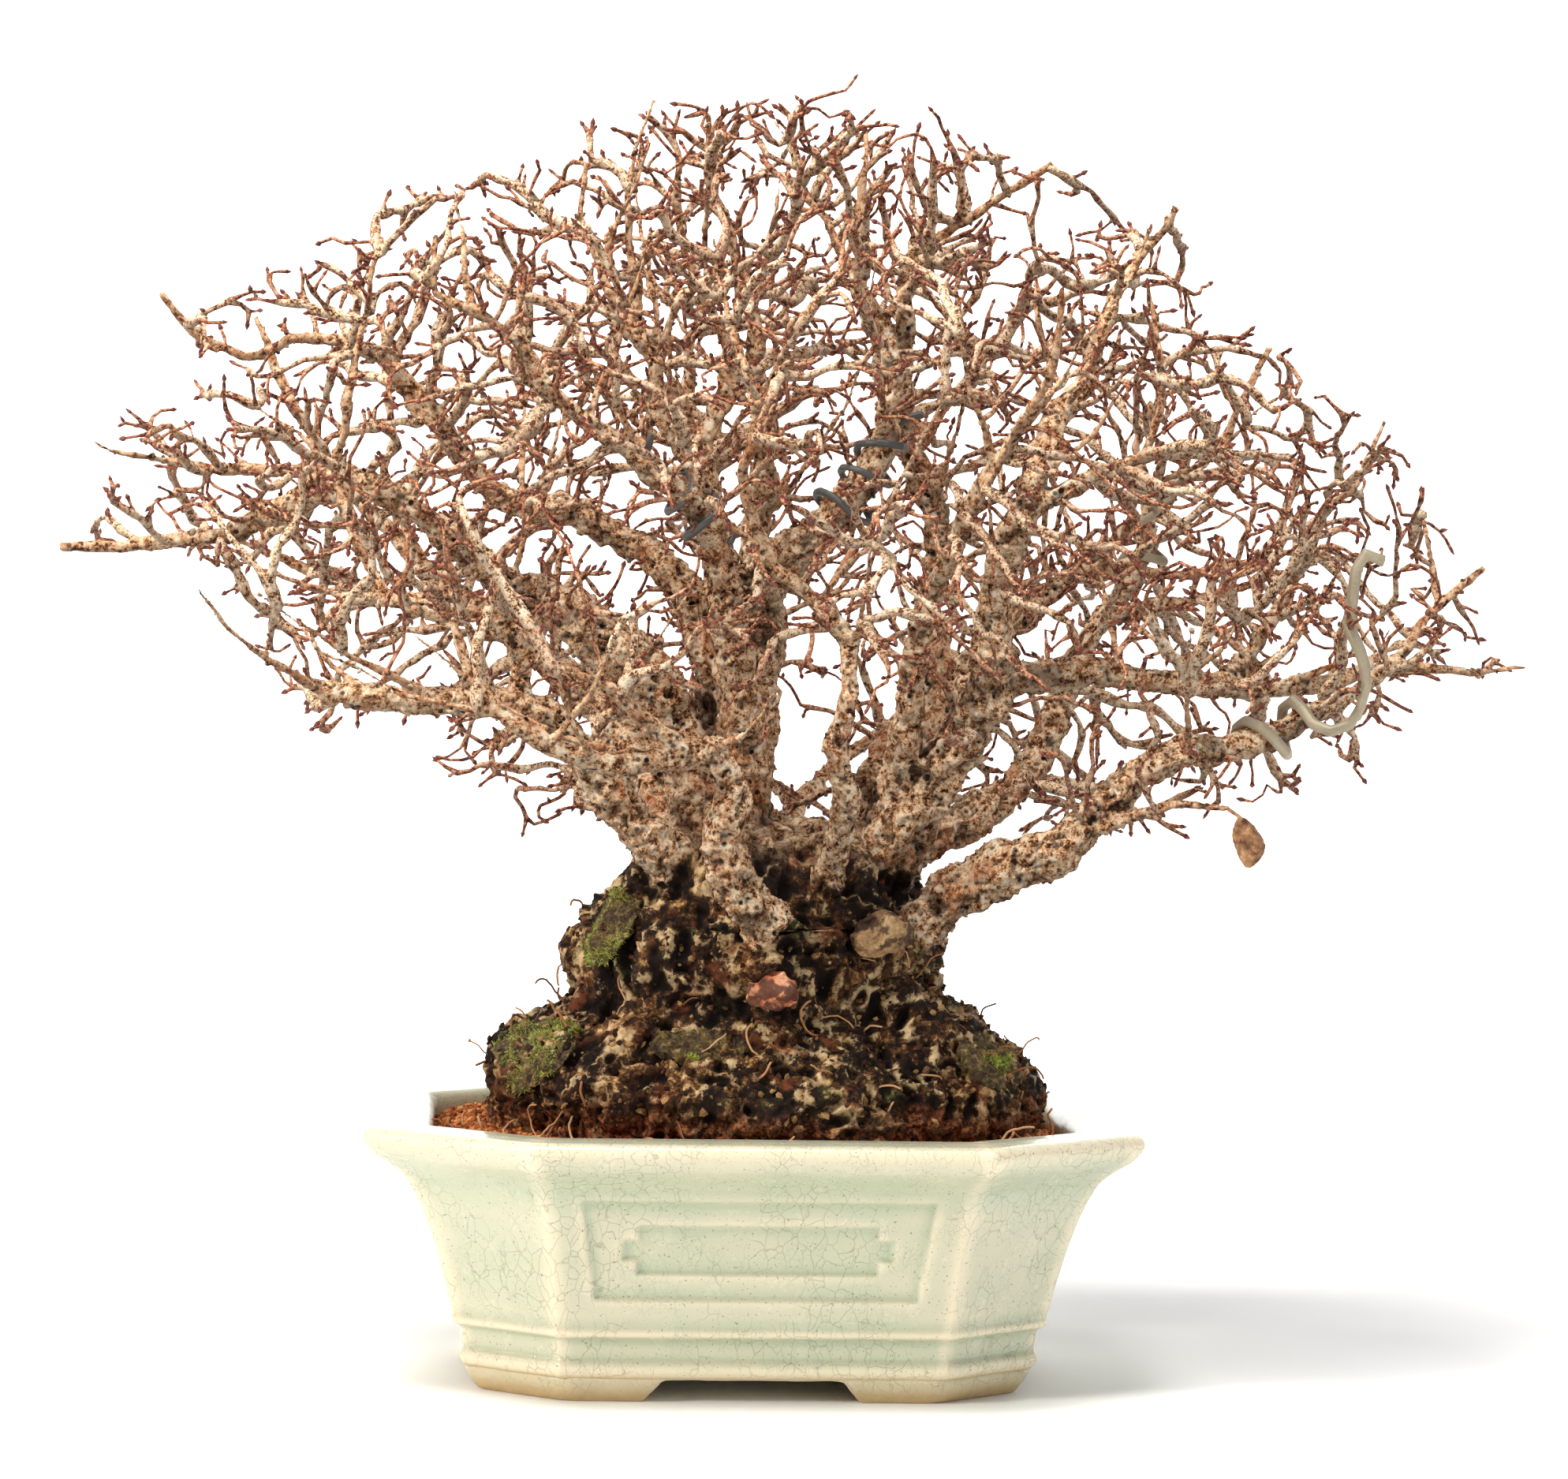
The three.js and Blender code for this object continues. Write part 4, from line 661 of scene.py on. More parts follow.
for number, (name, nodes) in enumerate(groups.items()):
    chosen = wood_faces[wood_owner[wood_faces[:, 0]] == number]
    used, local = np.unique(chosen, return_inverse=True)
    local = local.reshape(-1, 3)
    points = wood_points[used]
    middles, fans = closing_fans(local, points)
    extra = len(middles)
    made = piece(
        name + "_wood", np.concatenate([points, middles]), np.concatenate([local, fans]),
        bark_finish, "root_bark" if nodes == ["trunk"] else "bark", nodes,
        girth=np.append(wood_girth[used], np.full(extra, 0.02)) / mm,
        hollow=np.append(wood_hollow[used], np.zeros(extra)),
        shelter=np.append(wood_occlusion_shade[used], np.zeros(extra)),
        root=np.append(root_share[used], np.zeros(extra)))
    shading = np.concatenate([wood_shading[used], np.tile([0.0, 0.0, 1.0], (extra, 1))])
    made.data.normals_split_custom_set_from_vertices(shading.tolist())
    wood_pieces[name] = made

# %% [markdown]
# ## Twigs
# Twigs fill the light: each one turns toward free space and stops where another already is. Forks drawn by
# a fixed rule would look like a fern, so the growth itself is copied. Free spots are scattered in the
# crown's dome, every spot pulls the nearest wood, the wood grows one short step that way, and a spot that
# has been reached is used up. The result forks and fills like a real crown.

# %% Crown outline
crown_rows = np.array([
    # height, left edge and right edge from the pot's middle, in mm
    [190, -62, 150], [215, -112, 212], [228, -165, 240], [255, -175, 270], [278, -192, 262], [292, -246, 256],
    [340, -222, 226], [372, -194, 186], [400, -157, 152], [415, -126, 138], [430, -70, 106], [452, -34, 44]])


def crown_depth(height):
    """Half the crown's depth at a height in mm."""
    return np.interp(height, [190, 230, 300, 360, 410, 452], [70, 128, 150, 128, 88, 30])


def free_spots(count, seed):
    """Spots in the crown for twigs to reach, thicker toward its skin and thin in front of the stems."""
    random = np.random.default_rng(seed)
    spots = []
    while len(spots) < count:
        height = random.uniform(192, 450)
        left, right = (np.interp(height, crown_rows[:, 0], crown_rows[:, side]) for side in (1, 2))
        across, deep = random.uniform(-1, 1), random.uniform(-1, 1)
        ring = math.hypot(across, deep)
        top = (height - 235) / 217
        filled = math.sqrt(ring ** 2 + max(top, 0) ** 2 * 0.9)
        inner_thinned = np.interp(filled, [0.2, 0.5, 0.8], [0.06, 0.5, 1.0])
        top_thinned = np.interp(height, [370, 445], [1.0, 0.28])
        if ring > 1 or random.random() > inner_thinned * top_thinned:
            continue
        x = (left + right) / 2 + across * (right - left) / 2
        y = deep * crown_depth(height)
        if y < 10 and height < 222 and -62 < x < 84 or y < 10 and height < 262 and random.random() < 0.72:
            continue
        spots.append((x + pot_middle[0] / mm, y, height))
    spots = np.array(spots) * mm
    clumped = 0.3 + 0.7 * soft_step(lumps(spots, 36 * mm, 9), -0.35, 0.15)
    return spots[random.random(len(spots)) < clumped]


spots_tried = 5600
spots = free_spots(spots_tried, 7)
print("free spots", len(spots), "from", spots.min(axis=0).round(3), "to", spots.max(axis=0).round(3))

# %% [markdown]
# A twig seldom turns back on itself. Each step therefore mixes the pull of the free spots with the way the
# twig was already going, a push away from the crown's heart and a little chance. The growth starts at
# places spread over the thinner limbs.

# %% Growing
crown_heart = np.array([pot_middle[0], 0, 0.19])


def grow(seeds, spots, step, reach, used_up, rounds, seed):
    """Grows wood from the seeds toward the spots. Returns the joints and which joint each grew from."""
    random = np.random.default_rng(seed)
    joints = [seeds]
    parents = [np.full(len(seeds), -1)]
    children = np.zeros(len(seeds), dtype=int)
    going = np.zeros_like(seeds)
    where = seeds
    nearest = np.zeros(len(spots), dtype=int)
    away = np.full(len(spots), 9.0)
    fresh_from, fresh = 0, seeds
    for _ in range(rounds):
        for start in range(0, len(fresh), 400):
            part = fresh[start:start + 400]
            distance = np.linalg.norm(spots[:, None, :] - part[None, :, :], axis=2)
            best = distance.argmin(axis=1)
            closer = distance[np.arange(len(spots)), best] < away
            away[closer] = distance[np.arange(len(spots)), best][closer]
            nearest[closer] = fresh_from + start + best[closer]
        kept = away > used_up
        spots, away, nearest = spots[kept], away[kept], nearest[kept]
        pulling = away < reach
        if not pulling.any():
            break
        owners = nearest[pulling]
        toward = unit(spots[pulling] - where[owners])
        onward = (toward * going[owners]).sum(axis=1) > -0.1
        owners, toward = owners[onward], toward[onward]
        pull = np.zeros_like(where)
        np.add.at(pull, owners, toward)
        active = np.unique(owners)
        active = active[children[active] < 3]
        if not len(active):
            break
        outward = unit(where[active] - crown_heart)
        heading = (unit(pull[active]) + 0.75 * going[active] + 0.3 * random.normal(size=(len(active), 3))
                   + 0.45 * outward)
        tips = where[active] + unit(heading) * step * random.uniform(0.75, 1.2, (len(active), 1))
        children[active] += 1
        going = np.concatenate([going, unit(tips - where[active])])
        joints.append(tips)
        parents.append(active)
        fresh_from, fresh = len(where), tips
        where = np.concatenate([where, tips])
        children = np.concatenate([children, np.zeros(len(tips), dtype=int)])
    return where, np.concatenate(parents)


print("the crown grows away from", crown_heart.round(3))

# %% Twig joints
twig_step, pull_reach, used_up = 4.4 * mm, 42 * mm, 5.6 * mm
seed_count, growth_rounds = 1000, 90
on_trunk = np.isin(wood_owner, [list(groups).index("mound"), list(groups).index("stems")])
bearing = ~on_trunk & (wood_points[:, 2] > 200 * mm) & (wood_girth < 18 * mm)
off_axis = np.abs(wood_points[:, 0] - pot_middle[0]) > 50 * mm
bearing &= off_axis | (wood_points[:, 2] > 262 * mm)
chosen = np.random.default_rng(3).permutation(np.flatnonzero(bearing))[:seed_count]
twig_seeds = wood_points[chosen] - wood_shading[chosen] * 0.4 * mm
twig_joints, twig_parent = grow(twig_seeds, spots, twig_step, pull_reach, used_up, growth_rounds, 5)
print("joints grown", len(twig_joints) - len(twig_seeds))

# %% [markdown]
# Years of pruning leave short spurs all along the twigs. Each is one or two small steps long.

# %% Spurs
spur_count = 2300
spur_random = np.random.default_rng(6)
spur_base = spur_random.permutation(np.arange(len(twig_seeds), len(twig_joints)))[:spur_count]
spur_heading = twig_joints[spur_base] - twig_joints[twig_parent[spur_base]]
spur_heading = unit(unit(spur_heading) + 0.9 * spur_random.normal(size=spur_heading.shape)
                    + 0.6 * unit(twig_joints[spur_base] - crown_heart))
for reach_out in (3.2 * mm, 2.8 * mm):
    first_new = len(twig_joints)
    lengths = reach_out * spur_random.uniform(0.7, 1.3, (len(spur_base), 1))
    places = twig_joints[spur_base] + spur_heading * lengths
    twig_joints = np.concatenate([twig_joints, places])
    twig_parent = np.concatenate([twig_parent, spur_base])
    going_on = spur_random.random(len(spur_base)) < 0.6
    spur_base = np.arange(first_new, len(twig_joints))[going_on]
    spur_heading = unit(spur_heading[going_on] + 0.25 * spur_random.normal(size=(going_on.sum(), 3)))
print("with spurs", len(twig_joints))

# %% [markdown]
# A twig is as thick as all it carries. The old rule of pipes says that the girths of the branches at a fork
# add up to the girth below it, with a power a little over two. Joints swell where twigs fork.

# %% Twig thickness
children_of = [[] for _ in twig_joints]
for joint, parent in enumerate(twig_parent):
    if parent >= 0:
        children_of[parent].append(joint)
tip_radius, pipe = 0.56 * mm, 2.15
twig_radius = np.zeros(len(twig_joints))
weight = np.zeros(len(twig_joints))
for joint in range(len(twig_joints) - 1, -1, -1):
    carried = sum(weight[child] for child in children_of[joint])
    weight[joint] = carried + (0.04 if children_of[joint] else 1.0)
    twig_radius[joint] = min(tip_radius * weight[joint] ** (1 / pipe), 3.4 * mm)
knobs = np.random.default_rng(8).uniform(0.82, 1.3, len(twig_joints))
knobs[[len(children) > 1 for children in children_of]] = 1.4
print("twig radius", np.round(np.percentile(twig_radius, [5, 50, 95]) / mm, 2), "mm")

# %% [markdown]
# Curve objects with a bevel would draw tubes too, but plain rings of points keep one radius and one
# thickness mark per joint, and stay closed solids.

# %% Twig tubes
def twig_runs():
    """Unbranched runs of joints. A fork's heaviest child carries on, the others begin runs of their own."""
    runs = []
    starts = [(seed, child) for seed in range(len(twig_seeds)) for child in children_of[seed]]
    while starts:
        joint, nxt = starts.pop()
        run = [joint, nxt]
        while children_of[nxt]:
            heirs = sorted(children_of[nxt], key=lambda child: -weight[child])
            starts += [(nxt, other) for other in heirs[1:]]
            nxt = heirs[0]
            run.append(nxt)
        runs.append(run)
    return runs


def tubes(runs, places, radii, sides):
    """Closed round tubes along runs of places. Returns points, triangles and the joint of every point."""
    points, faces, owners = [], [], []
    turn = 2 * np.pi * np.arange(sides) / sides
    circle = np.stack([np.cos(turn), np.sin(turn)], axis=1)
    base = 0
    for run in runs:
        line = places[run]
        along = unit(np.gradient(line, axis=0))
        side = np.cross(along[0], [0.31, 0.22, 0.93])
        side /= np.linalg.norm(side)
        sides_list = []
        for direction in along:
            side = side - direction * side.dot(direction)
            side = side / np.linalg.norm(side)
            sides_list.append(side)
        across = np.array(sides_list)
        up = np.cross(along, across)
        ring = circle[None, :, 0, None] * across[:, None] + circle[None, :, 1, None] * up[:, None]
        rings = line[:, None] + ring * radii[run][:, None, None]
        count = len(run)
        points.append(rings.reshape(-1, 3))
        points.append(np.array([line[0] - along[0] * radii[run[0]], line[-1] + along[-1] * radii[run[-1]]]))
        owners.append(np.repeat(run, sides))
        owners.append(np.array([run[0], run[-1]]))
        number = np.arange((count - 1) * sides)
        a = base + number
        b = base + (number // sides) * sides + (number + 1) % sides
        faces.append(np.stack([a, b, b + sides], axis=1))
        faces.append(np.stack([a, b + sides, a + sides], axis=1))
        first, last = base + count * sides, base + count * sides + 1
        ends = np.arange(sides)
        faces.append(np.stack([base + (ends + 1) % sides, base + ends, np.full(sides, first)], axis=1))
        top = base + (count - 1) * sides
        faces.append(np.stack([top + ends, top + (ends + 1) % sides, np.full(sides, last)], axis=1))
        base += count * sides + 2
    return np.concatenate(points), np.concatenate(faces), np.concatenate(owners)


runs = twig_runs()
print("runs of twigs", len(runs))

# %% Twig pieces
rounded = twig_radius * knobs
for seed_joint in range(len(twig_seeds)):
    if children_of[seed_joint]:
        rounded[seed_joint] = 1.25 * twig_radius[children_of[seed_joint][0]]
start_x = np.array([twig_joints[run[0]][0] for run in runs]) - pot_middle[0]
start_y = np.array([twig_joints[run[0]][1] for run in runs])
sector = np.where(start_x < -95 * mm, 0, np.where(start_x > 105 * mm, 4, np.where(start_x < 0, 1, 2)))
sector = np.where((sector == 2) & (start_y > 0), 3, sector)
for number in range(5):
    part = [run for run, where in zip(runs, sector) if where == number]
    points, faces, owners = tubes(part, twig_joints, rounded, 6)
    piece(f"twigs_{number + 1}", points, faces, twig_finish, "bark", thick=twig_radius[owners] / mm)

# %% [markdown]
# ## Buds
# Winter buds sit at the end of every twig and here and there along it: little red-brown spindles two to
# three millimetres long. Balls would look like berries, so each bud is lofted from four small rings to a
# point.

# %% Bud shape and finish
def bud_finish():
    finish = Finish("buds")
    scale = finish.noise(1.2 * mm, 4, 0.65)
    colour = finish.ramp(scale, [
        (0.36, srgb(48, 16, 12)), (0.5, srgb(112, 48, 34)), (0.68, srgb(168, 96, 66))])
    return finish.finished(colour, 0.6, scale, 0.25 * mm)


def spindles(places, headings, lengths, widths):
    """Pointed buds, each with four rings of five points. Returns points and triangles."""
    side = unit(np.cross(headings, [0.3, 0.2, 0.93]))
    other = np.cross(headings, side)
    shape = [(0.0, 0.6), (0.3, 1.0), (0.62, 0.72), (1.0, 0.12)]
    rings = []
    for share, girth in shape:
        middle = places + headings * (lengths * (share - 0.12))[:, None]
        for turn in np.arange(5) * 2 * math.pi / 5:
            outward = math.cos(turn) * side + math.sin(turn) * other
            rings.append(middle + (widths * girth)[:, None] * outward)
    rings.append(places - headings * (lengths * 0.16)[:, None])
    rings.append(places + headings * (lengths * 0.92)[:, None])
    points = np.stack(rings, axis=1)
    faces = []
    for level in range(3):
        for number in range(5):
            a, b = level * 5 + number, level * 5 + (number + 1) % 5
            faces += [[a, b, b + 5], [a, b + 5, a + 5]]
    faces += [[(number + 1) % 5, number, 20] for number in range(5)]
    faces += [[15 + number, 15 + (number + 1) % 5, 21] for number in range(5)]
    faces = np.array(faces)[None] + 22 * np.arange(len(places))[:, None, None]
    return points.reshape(-1, 3), faces.reshape(-1, 3)


bud_brown = bud_finish()
print("a bud has", len(spindles(np.zeros((1, 3)), np.eye(3)[:1], np.ones(1), np.ones(1))[0]), "points")

# %% Buds
side_buds = 900
bud_random = np.random.default_rng(14)
tips = np.array([joint for joint in range(len(twig_seeds), len(twig_joints)) if not children_of[joint]])
print("twig tips", len(tips))
inner_joints = np.array([joint for joint in range(len(twig_seeds), len(twig_joints)) if children_of[joint]])
sides = bud_random.permutation(inner_joints)[:side_buds]
tip_headings = unit(twig_joints[tips] - twig_joints[twig_parent[tips]])
side_headings = unit(twig_joints[sides] - twig_joints[twig_parent[sides]])
side_headings = unit(side_headings + 1.1 * bud_random.normal(size=side_headings.shape))
side_places = twig_joints[sides] + side_headings * twig_radius[sides][:, None]
bud_places = np.concatenate([twig_joints[tips], side_places])
bud_headings = np.concatenate([tip_headings, side_headings])
bud_lengths = bud_random.uniform(1.9, 3.3, len(bud_places)) * mm
bud_widths = bud_random.uniform(0.7, 1.1, len(bud_places)) * mm
bud_points, bud_faces = spindles(bud_places, bud_headings, bud_lengths, bud_widths)
piece("winter_buds", bud_points, bud_faces, bud_brown, "bark")

# %% [markdown]
# ## Pot
# The pot is carved stoneware under a thick celadon glaze. The glaze runs off every edge, which then shows
# cream, and pools green in every recess. Remeshing would round off the crisp belts, so the wall is skinned
# from the same profile as the CAD pot, in fine steps, and each point keeps how far the glaze has pooled
# there; the inside wall, which lies in shade, keeps a little painted light instead.

# %% Glaze finish
def crackle(finish):
    """Two sets of hair cracks in the glaze, wide and fine: 1 on a crack and 0 off it, in patches."""
    wavy = {"Vector": finish.place, "Scale": 90.0, "Detail": 2.0}
    warp = finish.node("ShaderNodeTexNoise", {}, wavy, "Color")
    warped = finish.node("ShaderNodeVectorMath", {"operation": "MULTIPLY_ADD"},
                         {0: warp, 1: (0.007, 0.007, 0.004), 2: finish.stretched(1, 1, 0.55)})
    crack = finish.cells(4.6 * mm, "DISTANCE_TO_EDGE", warped)
    fine_crack = finish.cells(2.0 * mm, "DISTANCE_TO_EDGE", warped)
    lines = (1 - crack.above(0.0, 0.035)) * finish.noise(30 * mm, 2, 0.5).above(0.42, 0.56)
    fine_lines = (1 - fine_crack.above(0.0, 0.05)) * finish.noise(17 * mm, 2, 0.5).above(0.5, 0.6)
    return lines, fine_lines


def glaze():
    finish = Finish("celadon_glaze")
    pool, bare = finish.made("pool"), finish.made("bare")
    drift = finish.noise(34 * mm, 3, 0.5)
    cloud = finish.noise(9 * mm, 4, 0.6)
    body = finish.mix(drift.above(0.38, 0.62), srgb(206, 202, 175), srgb(197, 199, 172))
    body = finish.mix(cloud.above(0.45, 0.75) * 0.25, body, srgb(214, 209, 185))
    colour = finish.mix(pool.clamp(), body, srgb(172, 184, 154))
    # Cream where the glaze ran thin off the edges; on the inside wall the same cream is painted light.
    colour = finish.mix((0 - pool).clamp(), colour, srgb(236, 223, 193))
    lines, fine_lines = crackle(finish)
    colour = finish.mix((lines * 0.42 + fine_lines * 0.3).clamp(), colour, srgb(128, 126, 98))
    speck = finish.noise(0.9 * mm, 2, 0.5).above(0.66, 0.71)
    colour = finish.mix(speck * 0.7, colour, srgb(112, 92, 62))
    clay = finish.mix(finish.noise(3 * mm, 5, 0.7), srgb(184, 148, 92), srgb(216, 190, 140))
    colour = finish.mix(bare, colour, clay)
    rough = 0.2 + 0.12 * cloud + 0.35 * bare
    relief = 0.4 * drift + 0.12 * cloud + 0.08 * finish.noise(2.2 * mm, 3, 0.6) - 0.05 * lines
    return finish.finished(colour, rough, relief, 1.4 * mm, Coat_Weight=0.3, Coat_Roughness=0.08, IOR=1.5)


glaze_finish = glaze()

# %% [markdown]
# Seen from above the pot is a rectangle with its corners cut off. The same eight faces are needed at every
# height, moved in or out, so one function gives the outline for any inset.

# %% Pot outline
pot_half = (pot_high - pot_low) / 2 / mm
corner_cut = np.array([57.0, 43.0])
cut_length = np.hypot(*corner_cut)
cut_normal = corner_cut[::-1] / cut_length
foot_height, lip_bottom = 8.0, 81.0
columns, arc_places, rounding = [110, 36, 46, 36, 70, 36, 46, 36], 5, 2.6
face_normals = np.array([(0, -1), (cut_normal[0], -cut_normal[1]), (1, 0), cut_normal, (0, 1),
                         (-cut_normal[0], cut_normal[1]), (-1, 0), -cut_normal])


def octagon_corners(inset):
    """The eight corners of the pot's outline moved inward by `inset` mm, each after the face it ends."""
    reach = cut_normal[0] * pot_half[0] + cut_normal[1] * (pot_half[1] - corner_cut[1]) - inset
    side_x, side_y = pot_half[0] - inset, pot_half[1] - inset
    side_end = (reach - cut_normal[0] * side_x) / cut_normal[1]
    front_end = (reach - cut_normal[1] * side_y) / cut_normal[0]
    return np.array([(front_end, -side_y), (side_x, -side_end), (side_x, side_end), (front_end, side_y),
                     (-front_end, side_y), (-side_x, side_end), (-side_x, -side_end), (-front_end, -side_y)])


def outline(inset, columns, rounding):
    """Places along the outline, with rounded corners, and how far each is from the nearest corner."""
    corners = octagon_corners(inset + rounding)
    places, away = [], []
    for face, steps in enumerate(columns):
        start, end = corners[face - 1], corners[face]
        share = (np.arange(steps) + 0.5)[:, None] / steps
        places.append(start + (end - start) * share + face_normals[face] * rounding)
        length = np.linalg.norm(end - start)
        away.append(np.minimum(share[:, 0], 1 - share[:, 0]) * length)
        first = math.atan2(*face_normals[face][::-1])
        swing = (math.atan2(*face_normals[(face + 1) % 8][::-1]) - first) % (2 * math.pi)
        angles = first + swing * np.linspace(0, 1, arc_places)
        places.append(end + rounding * np.stack([np.cos(angles), np.sin(angles)], axis=1))
        away.append(np.zeros(arc_places))
    return np.concatenate(places), np.concatenate(away)


print("outline", len(outline(0, columns, rounding)[0]), "places")

# %% [markdown]
# The profile runs up the outside, over the lip and down the inside. Each step is an inset from the pot's
# largest outline and a height, in mm. It is walked in steps of 0.8 mm where it can be seen, and softened a
# little, as glaze softens clay.

# %% Pot profile
wall_steps = np.array([(36.5, 0), (34.5, 0.03), (34.2, 0.07), (35.7, 0.09), (34.9, 0.19), (31.5, 0.21),
                       (31.2, 0.235), (31.9, 0.26), (30.7, 0.3), (28.7, 0.42), (25.5, 0.58), (21.5, 0.74),
                       (18.3, 0.84), (15.1, 0.92), (11.7, 0.965)])
outer = [(inset, foot_height + 0.6 + share * (lip_bottom - foot_height - 0.6)) for inset, share in wall_steps]
lip = [(8, 81.2), (4.6, 83.4), (2, 86), (0.4, 88.6), (0, 90.4), (0.9, 92.2), (3, 93.2), (11.5, 93.5),
       (20.6, 93.0)]
inner = [(23.4, 91.0), (24, 84), (24.4, 72), (29.5, 62), (33.5, 50), (36.7, 38), (39.9, 24), (43, 16.8)]
profile = np.array(outer + lip + inner + [(43.5, 9.6), (38.5, 8.7)])
along = np.append(0, np.cumsum(np.linalg.norm(np.diff(profile, axis=0), axis=1)))
lip_end = along[len(outer) + len(lip) - 1]
levels = np.concatenate([np.arange(0, lip_end, 0.8), np.arange(lip_end, along[-1], 3.5)])
rows = np.stack([np.interp(levels, along, profile[:, axis]) for axis in (0, 1)], axis=1)
seen = levels < lip_end
for _ in range(2):
    softened = (np.roll(rows, 1, axis=0) + 2 * rows + np.roll(rows, -1, axis=0)) / 4
    rows[1:-1] = np.where(seen[1:-1, None], softened[1:-1], rows[1:-1])
print("profile rows", len(rows))

# %% Panels
def panel_depth(x, z):
    """How deep the double panel is carved at a place on the front or back, in mm."""
    trapezoid = np.minimum(np.minimum(z - 37, 72 - z), 55 + (z - 37) / 7 - np.abs(x))
    wide = np.minimum(46 - np.abs(x), np.minimum(z - 51, 58 - z))
    tall = np.minimum(41 - np.abs(x), np.minimum(z - 46, 63 - z))
    return 1.3 * soft_step(trapezoid, -0.6, 0.8) + 1.3 * soft_step(np.maximum(wide, tall), -0.6, 0.9)


print("panel depth at its middle", round(float(panel_depth(np.array(0.0), np.array(54.5))), 2), "mm")

# %% [markdown]
# The grid of the wall has a column for each place round the outline and a row for each step of the profile.
# How deep a point lies below its neighbours says how much glaze ran there, and that steers the colour.
# The inside wall is lightened toward cream instead, as painted light against its shade.

# %% Pot wall
column_face = []
for face, steps in enumerate(columns):
    column_face += [face] * steps + [-1] * arc_places
column_face = np.array(column_face)
grid, corner_away = [], None
for inset, z in rows:
    places, corner_away = outline(inset, columns, rounding)
    grid.append(np.column_stack([places, np.full(len(places), z)]))
grid = np.array(grid)
carved = np.zeros(grid.shape[:2])
on_panel = np.isin(column_face, (0, 4))
facing = np.where(column_face == 0, -1, 1)
on_outside = (levels < lip_end / 1.2) & (rows[:, 1] < 80)
front_and_back = np.ix_(on_outside, on_panel)
carved[front_and_back] = panel_depth(grid[..., 0], grid[..., 2])[front_and_back]
grid[..., 1] -= facing * carved
outward = -(rows[:, 0, None] + carved)


def spread(field, reach, axis):
    """The field averaged over `reach` steps either way along one axis."""
    return sum(np.roll(field, step, axis) for step in range(-reach, reach + 1)) / (2 * reach + 1)


glaze_pool_and_light = spread(spread(outward, 5, 0), 3, 1) - outward
below_lip = soft_step(grid[..., 2], 64, 74) * (1 - soft_step(grid[..., 2], 79, 88))
glaze_pool_and_light = 1.15 * spread(glaze_pool_and_light, 1, 0) + 0.4 * below_lip
glaze_pool_and_light -= 0.75 * np.exp(-(corner_away / 2.4) ** 2)[None, :]
glaze_pool_and_light += 0.12 * soft_step(carved, 1.5, 2.6)
# Painted light: the inside wall lies in shade, so it is lightened a little toward the cream of the edges.
glaze_pool_and_light[~seen] = -0.2
pot_points = grid.reshape(-1, 3) * mm + np.array([pot_middle[0], pot_middle[1], 0])
hand = 0.45 * lumps(pot_points, 60 * mm, 31) + 0.14 * lumps(pot_points, 13 * mm, 32)
pot_points = pot_points + (hand * mm)[:, None] * np.array([1, 1, 0.4])
count = grid.shape[1]
across, up = np.meshgrid(np.arange(count), np.arange(len(rows)))
right, above = (across + 1) % count, (up + 1) % len(rows)
up, above = up * count, above * count
pot_quads = np.stack([up + across, up + right, above + right, above + across], axis=-1)
piece("pot_wall", pot_points, pot_quads.reshape(-1, 4), glaze_finish, "glaze", ["pot"],
      pool=np.clip(glaze_pool_and_light.ravel(), -1, 1), bare=0.75 * (1 - soft_step(grid[..., 2].ravel(), 8.2, 10.5)))

# %% [markdown]
# The feet and the underside stayed bare in the kiln: the glaze is wiped off wherever the pot touches the
# shelf, and the clay there fires to a warm tan. Their shape is plain: a fine copy of the CAD pot will do.

# %% Feet
foot_points, foot_quads, foot_normals = fine_copy(["pot"], 1.2 * mm, 2, below=16.4 * mm)
tuck = 0.98 + 0.02 * (1 - soft_step(foot_points[:, 2], 7.6 * mm, 9.4 * mm))
foot_points[:, :2] = (foot_points[:, :2] - pot_middle[:2]) * tuck[:, None] + pot_middle[:2]
rough = (0.25 * lumps(foot_points, 9 * mm, 33) + 0.12 * lumps(foot_points, 3 * mm, 34)) * mm
rough *= soft_step(foot_points[:, 2], 0.4 * mm, 2 * mm)
foot_points = foot_points + foot_normals * rough[:, None]
foot_bare = 0.35 + 0.6 * (1 - soft_step(foot_points[:, 2], 1 * mm, 7 * mm))
piece("pot_feet", foot_points, foot_quads, glaze_finish, "glaze", ["pot"],
      pool=np.full(len(foot_points), -0.4), bare=foot_bare)

# %% [markdown]
# ## Soil
# The mix is baked clay and bark crumbs, two to four millimetres across and red-brown. A bump alone would
# look like felt, so the CAD block gives the bed, and loose grains lie half sunk in it, each with a tint of
# its own.

# %% Soil finish
def crumbly(name, dark, middle, light, size):
    """Dry matter in three tones, shifted lighter or darker by the tint of each grain."""
    finish = Finish(name)
    tint = finish.made("tint")
    cloud = finish.noise(size, 5, 0.7)
    grit = finish.noise(size / 5, 4, 0.7)
    tone = 0.3 * cloud + 0.3 * grit + 0.4 * tint
    colour = finish.ramp(tone, [(0.25, dark), (0.5, middle), (0.78, light)])
    return finish.finished(colour, 0.95 - 0.1 * grit, cloud + 0.5 * grit, 0.5 * mm, Specular_IOR_Level=0.2)


soil_finish = crumbly("soil", srgb(58, 20, 7), srgb(178, 98, 48), srgb(250, 182, 118), 3.2 * mm)

# %% [markdown]
# Grains, bark chips and knobs are the same kind of thing: rough lumps scattered over a surface. All the
# lumps of a kind are one mesh, because thousands of objects would be slow.

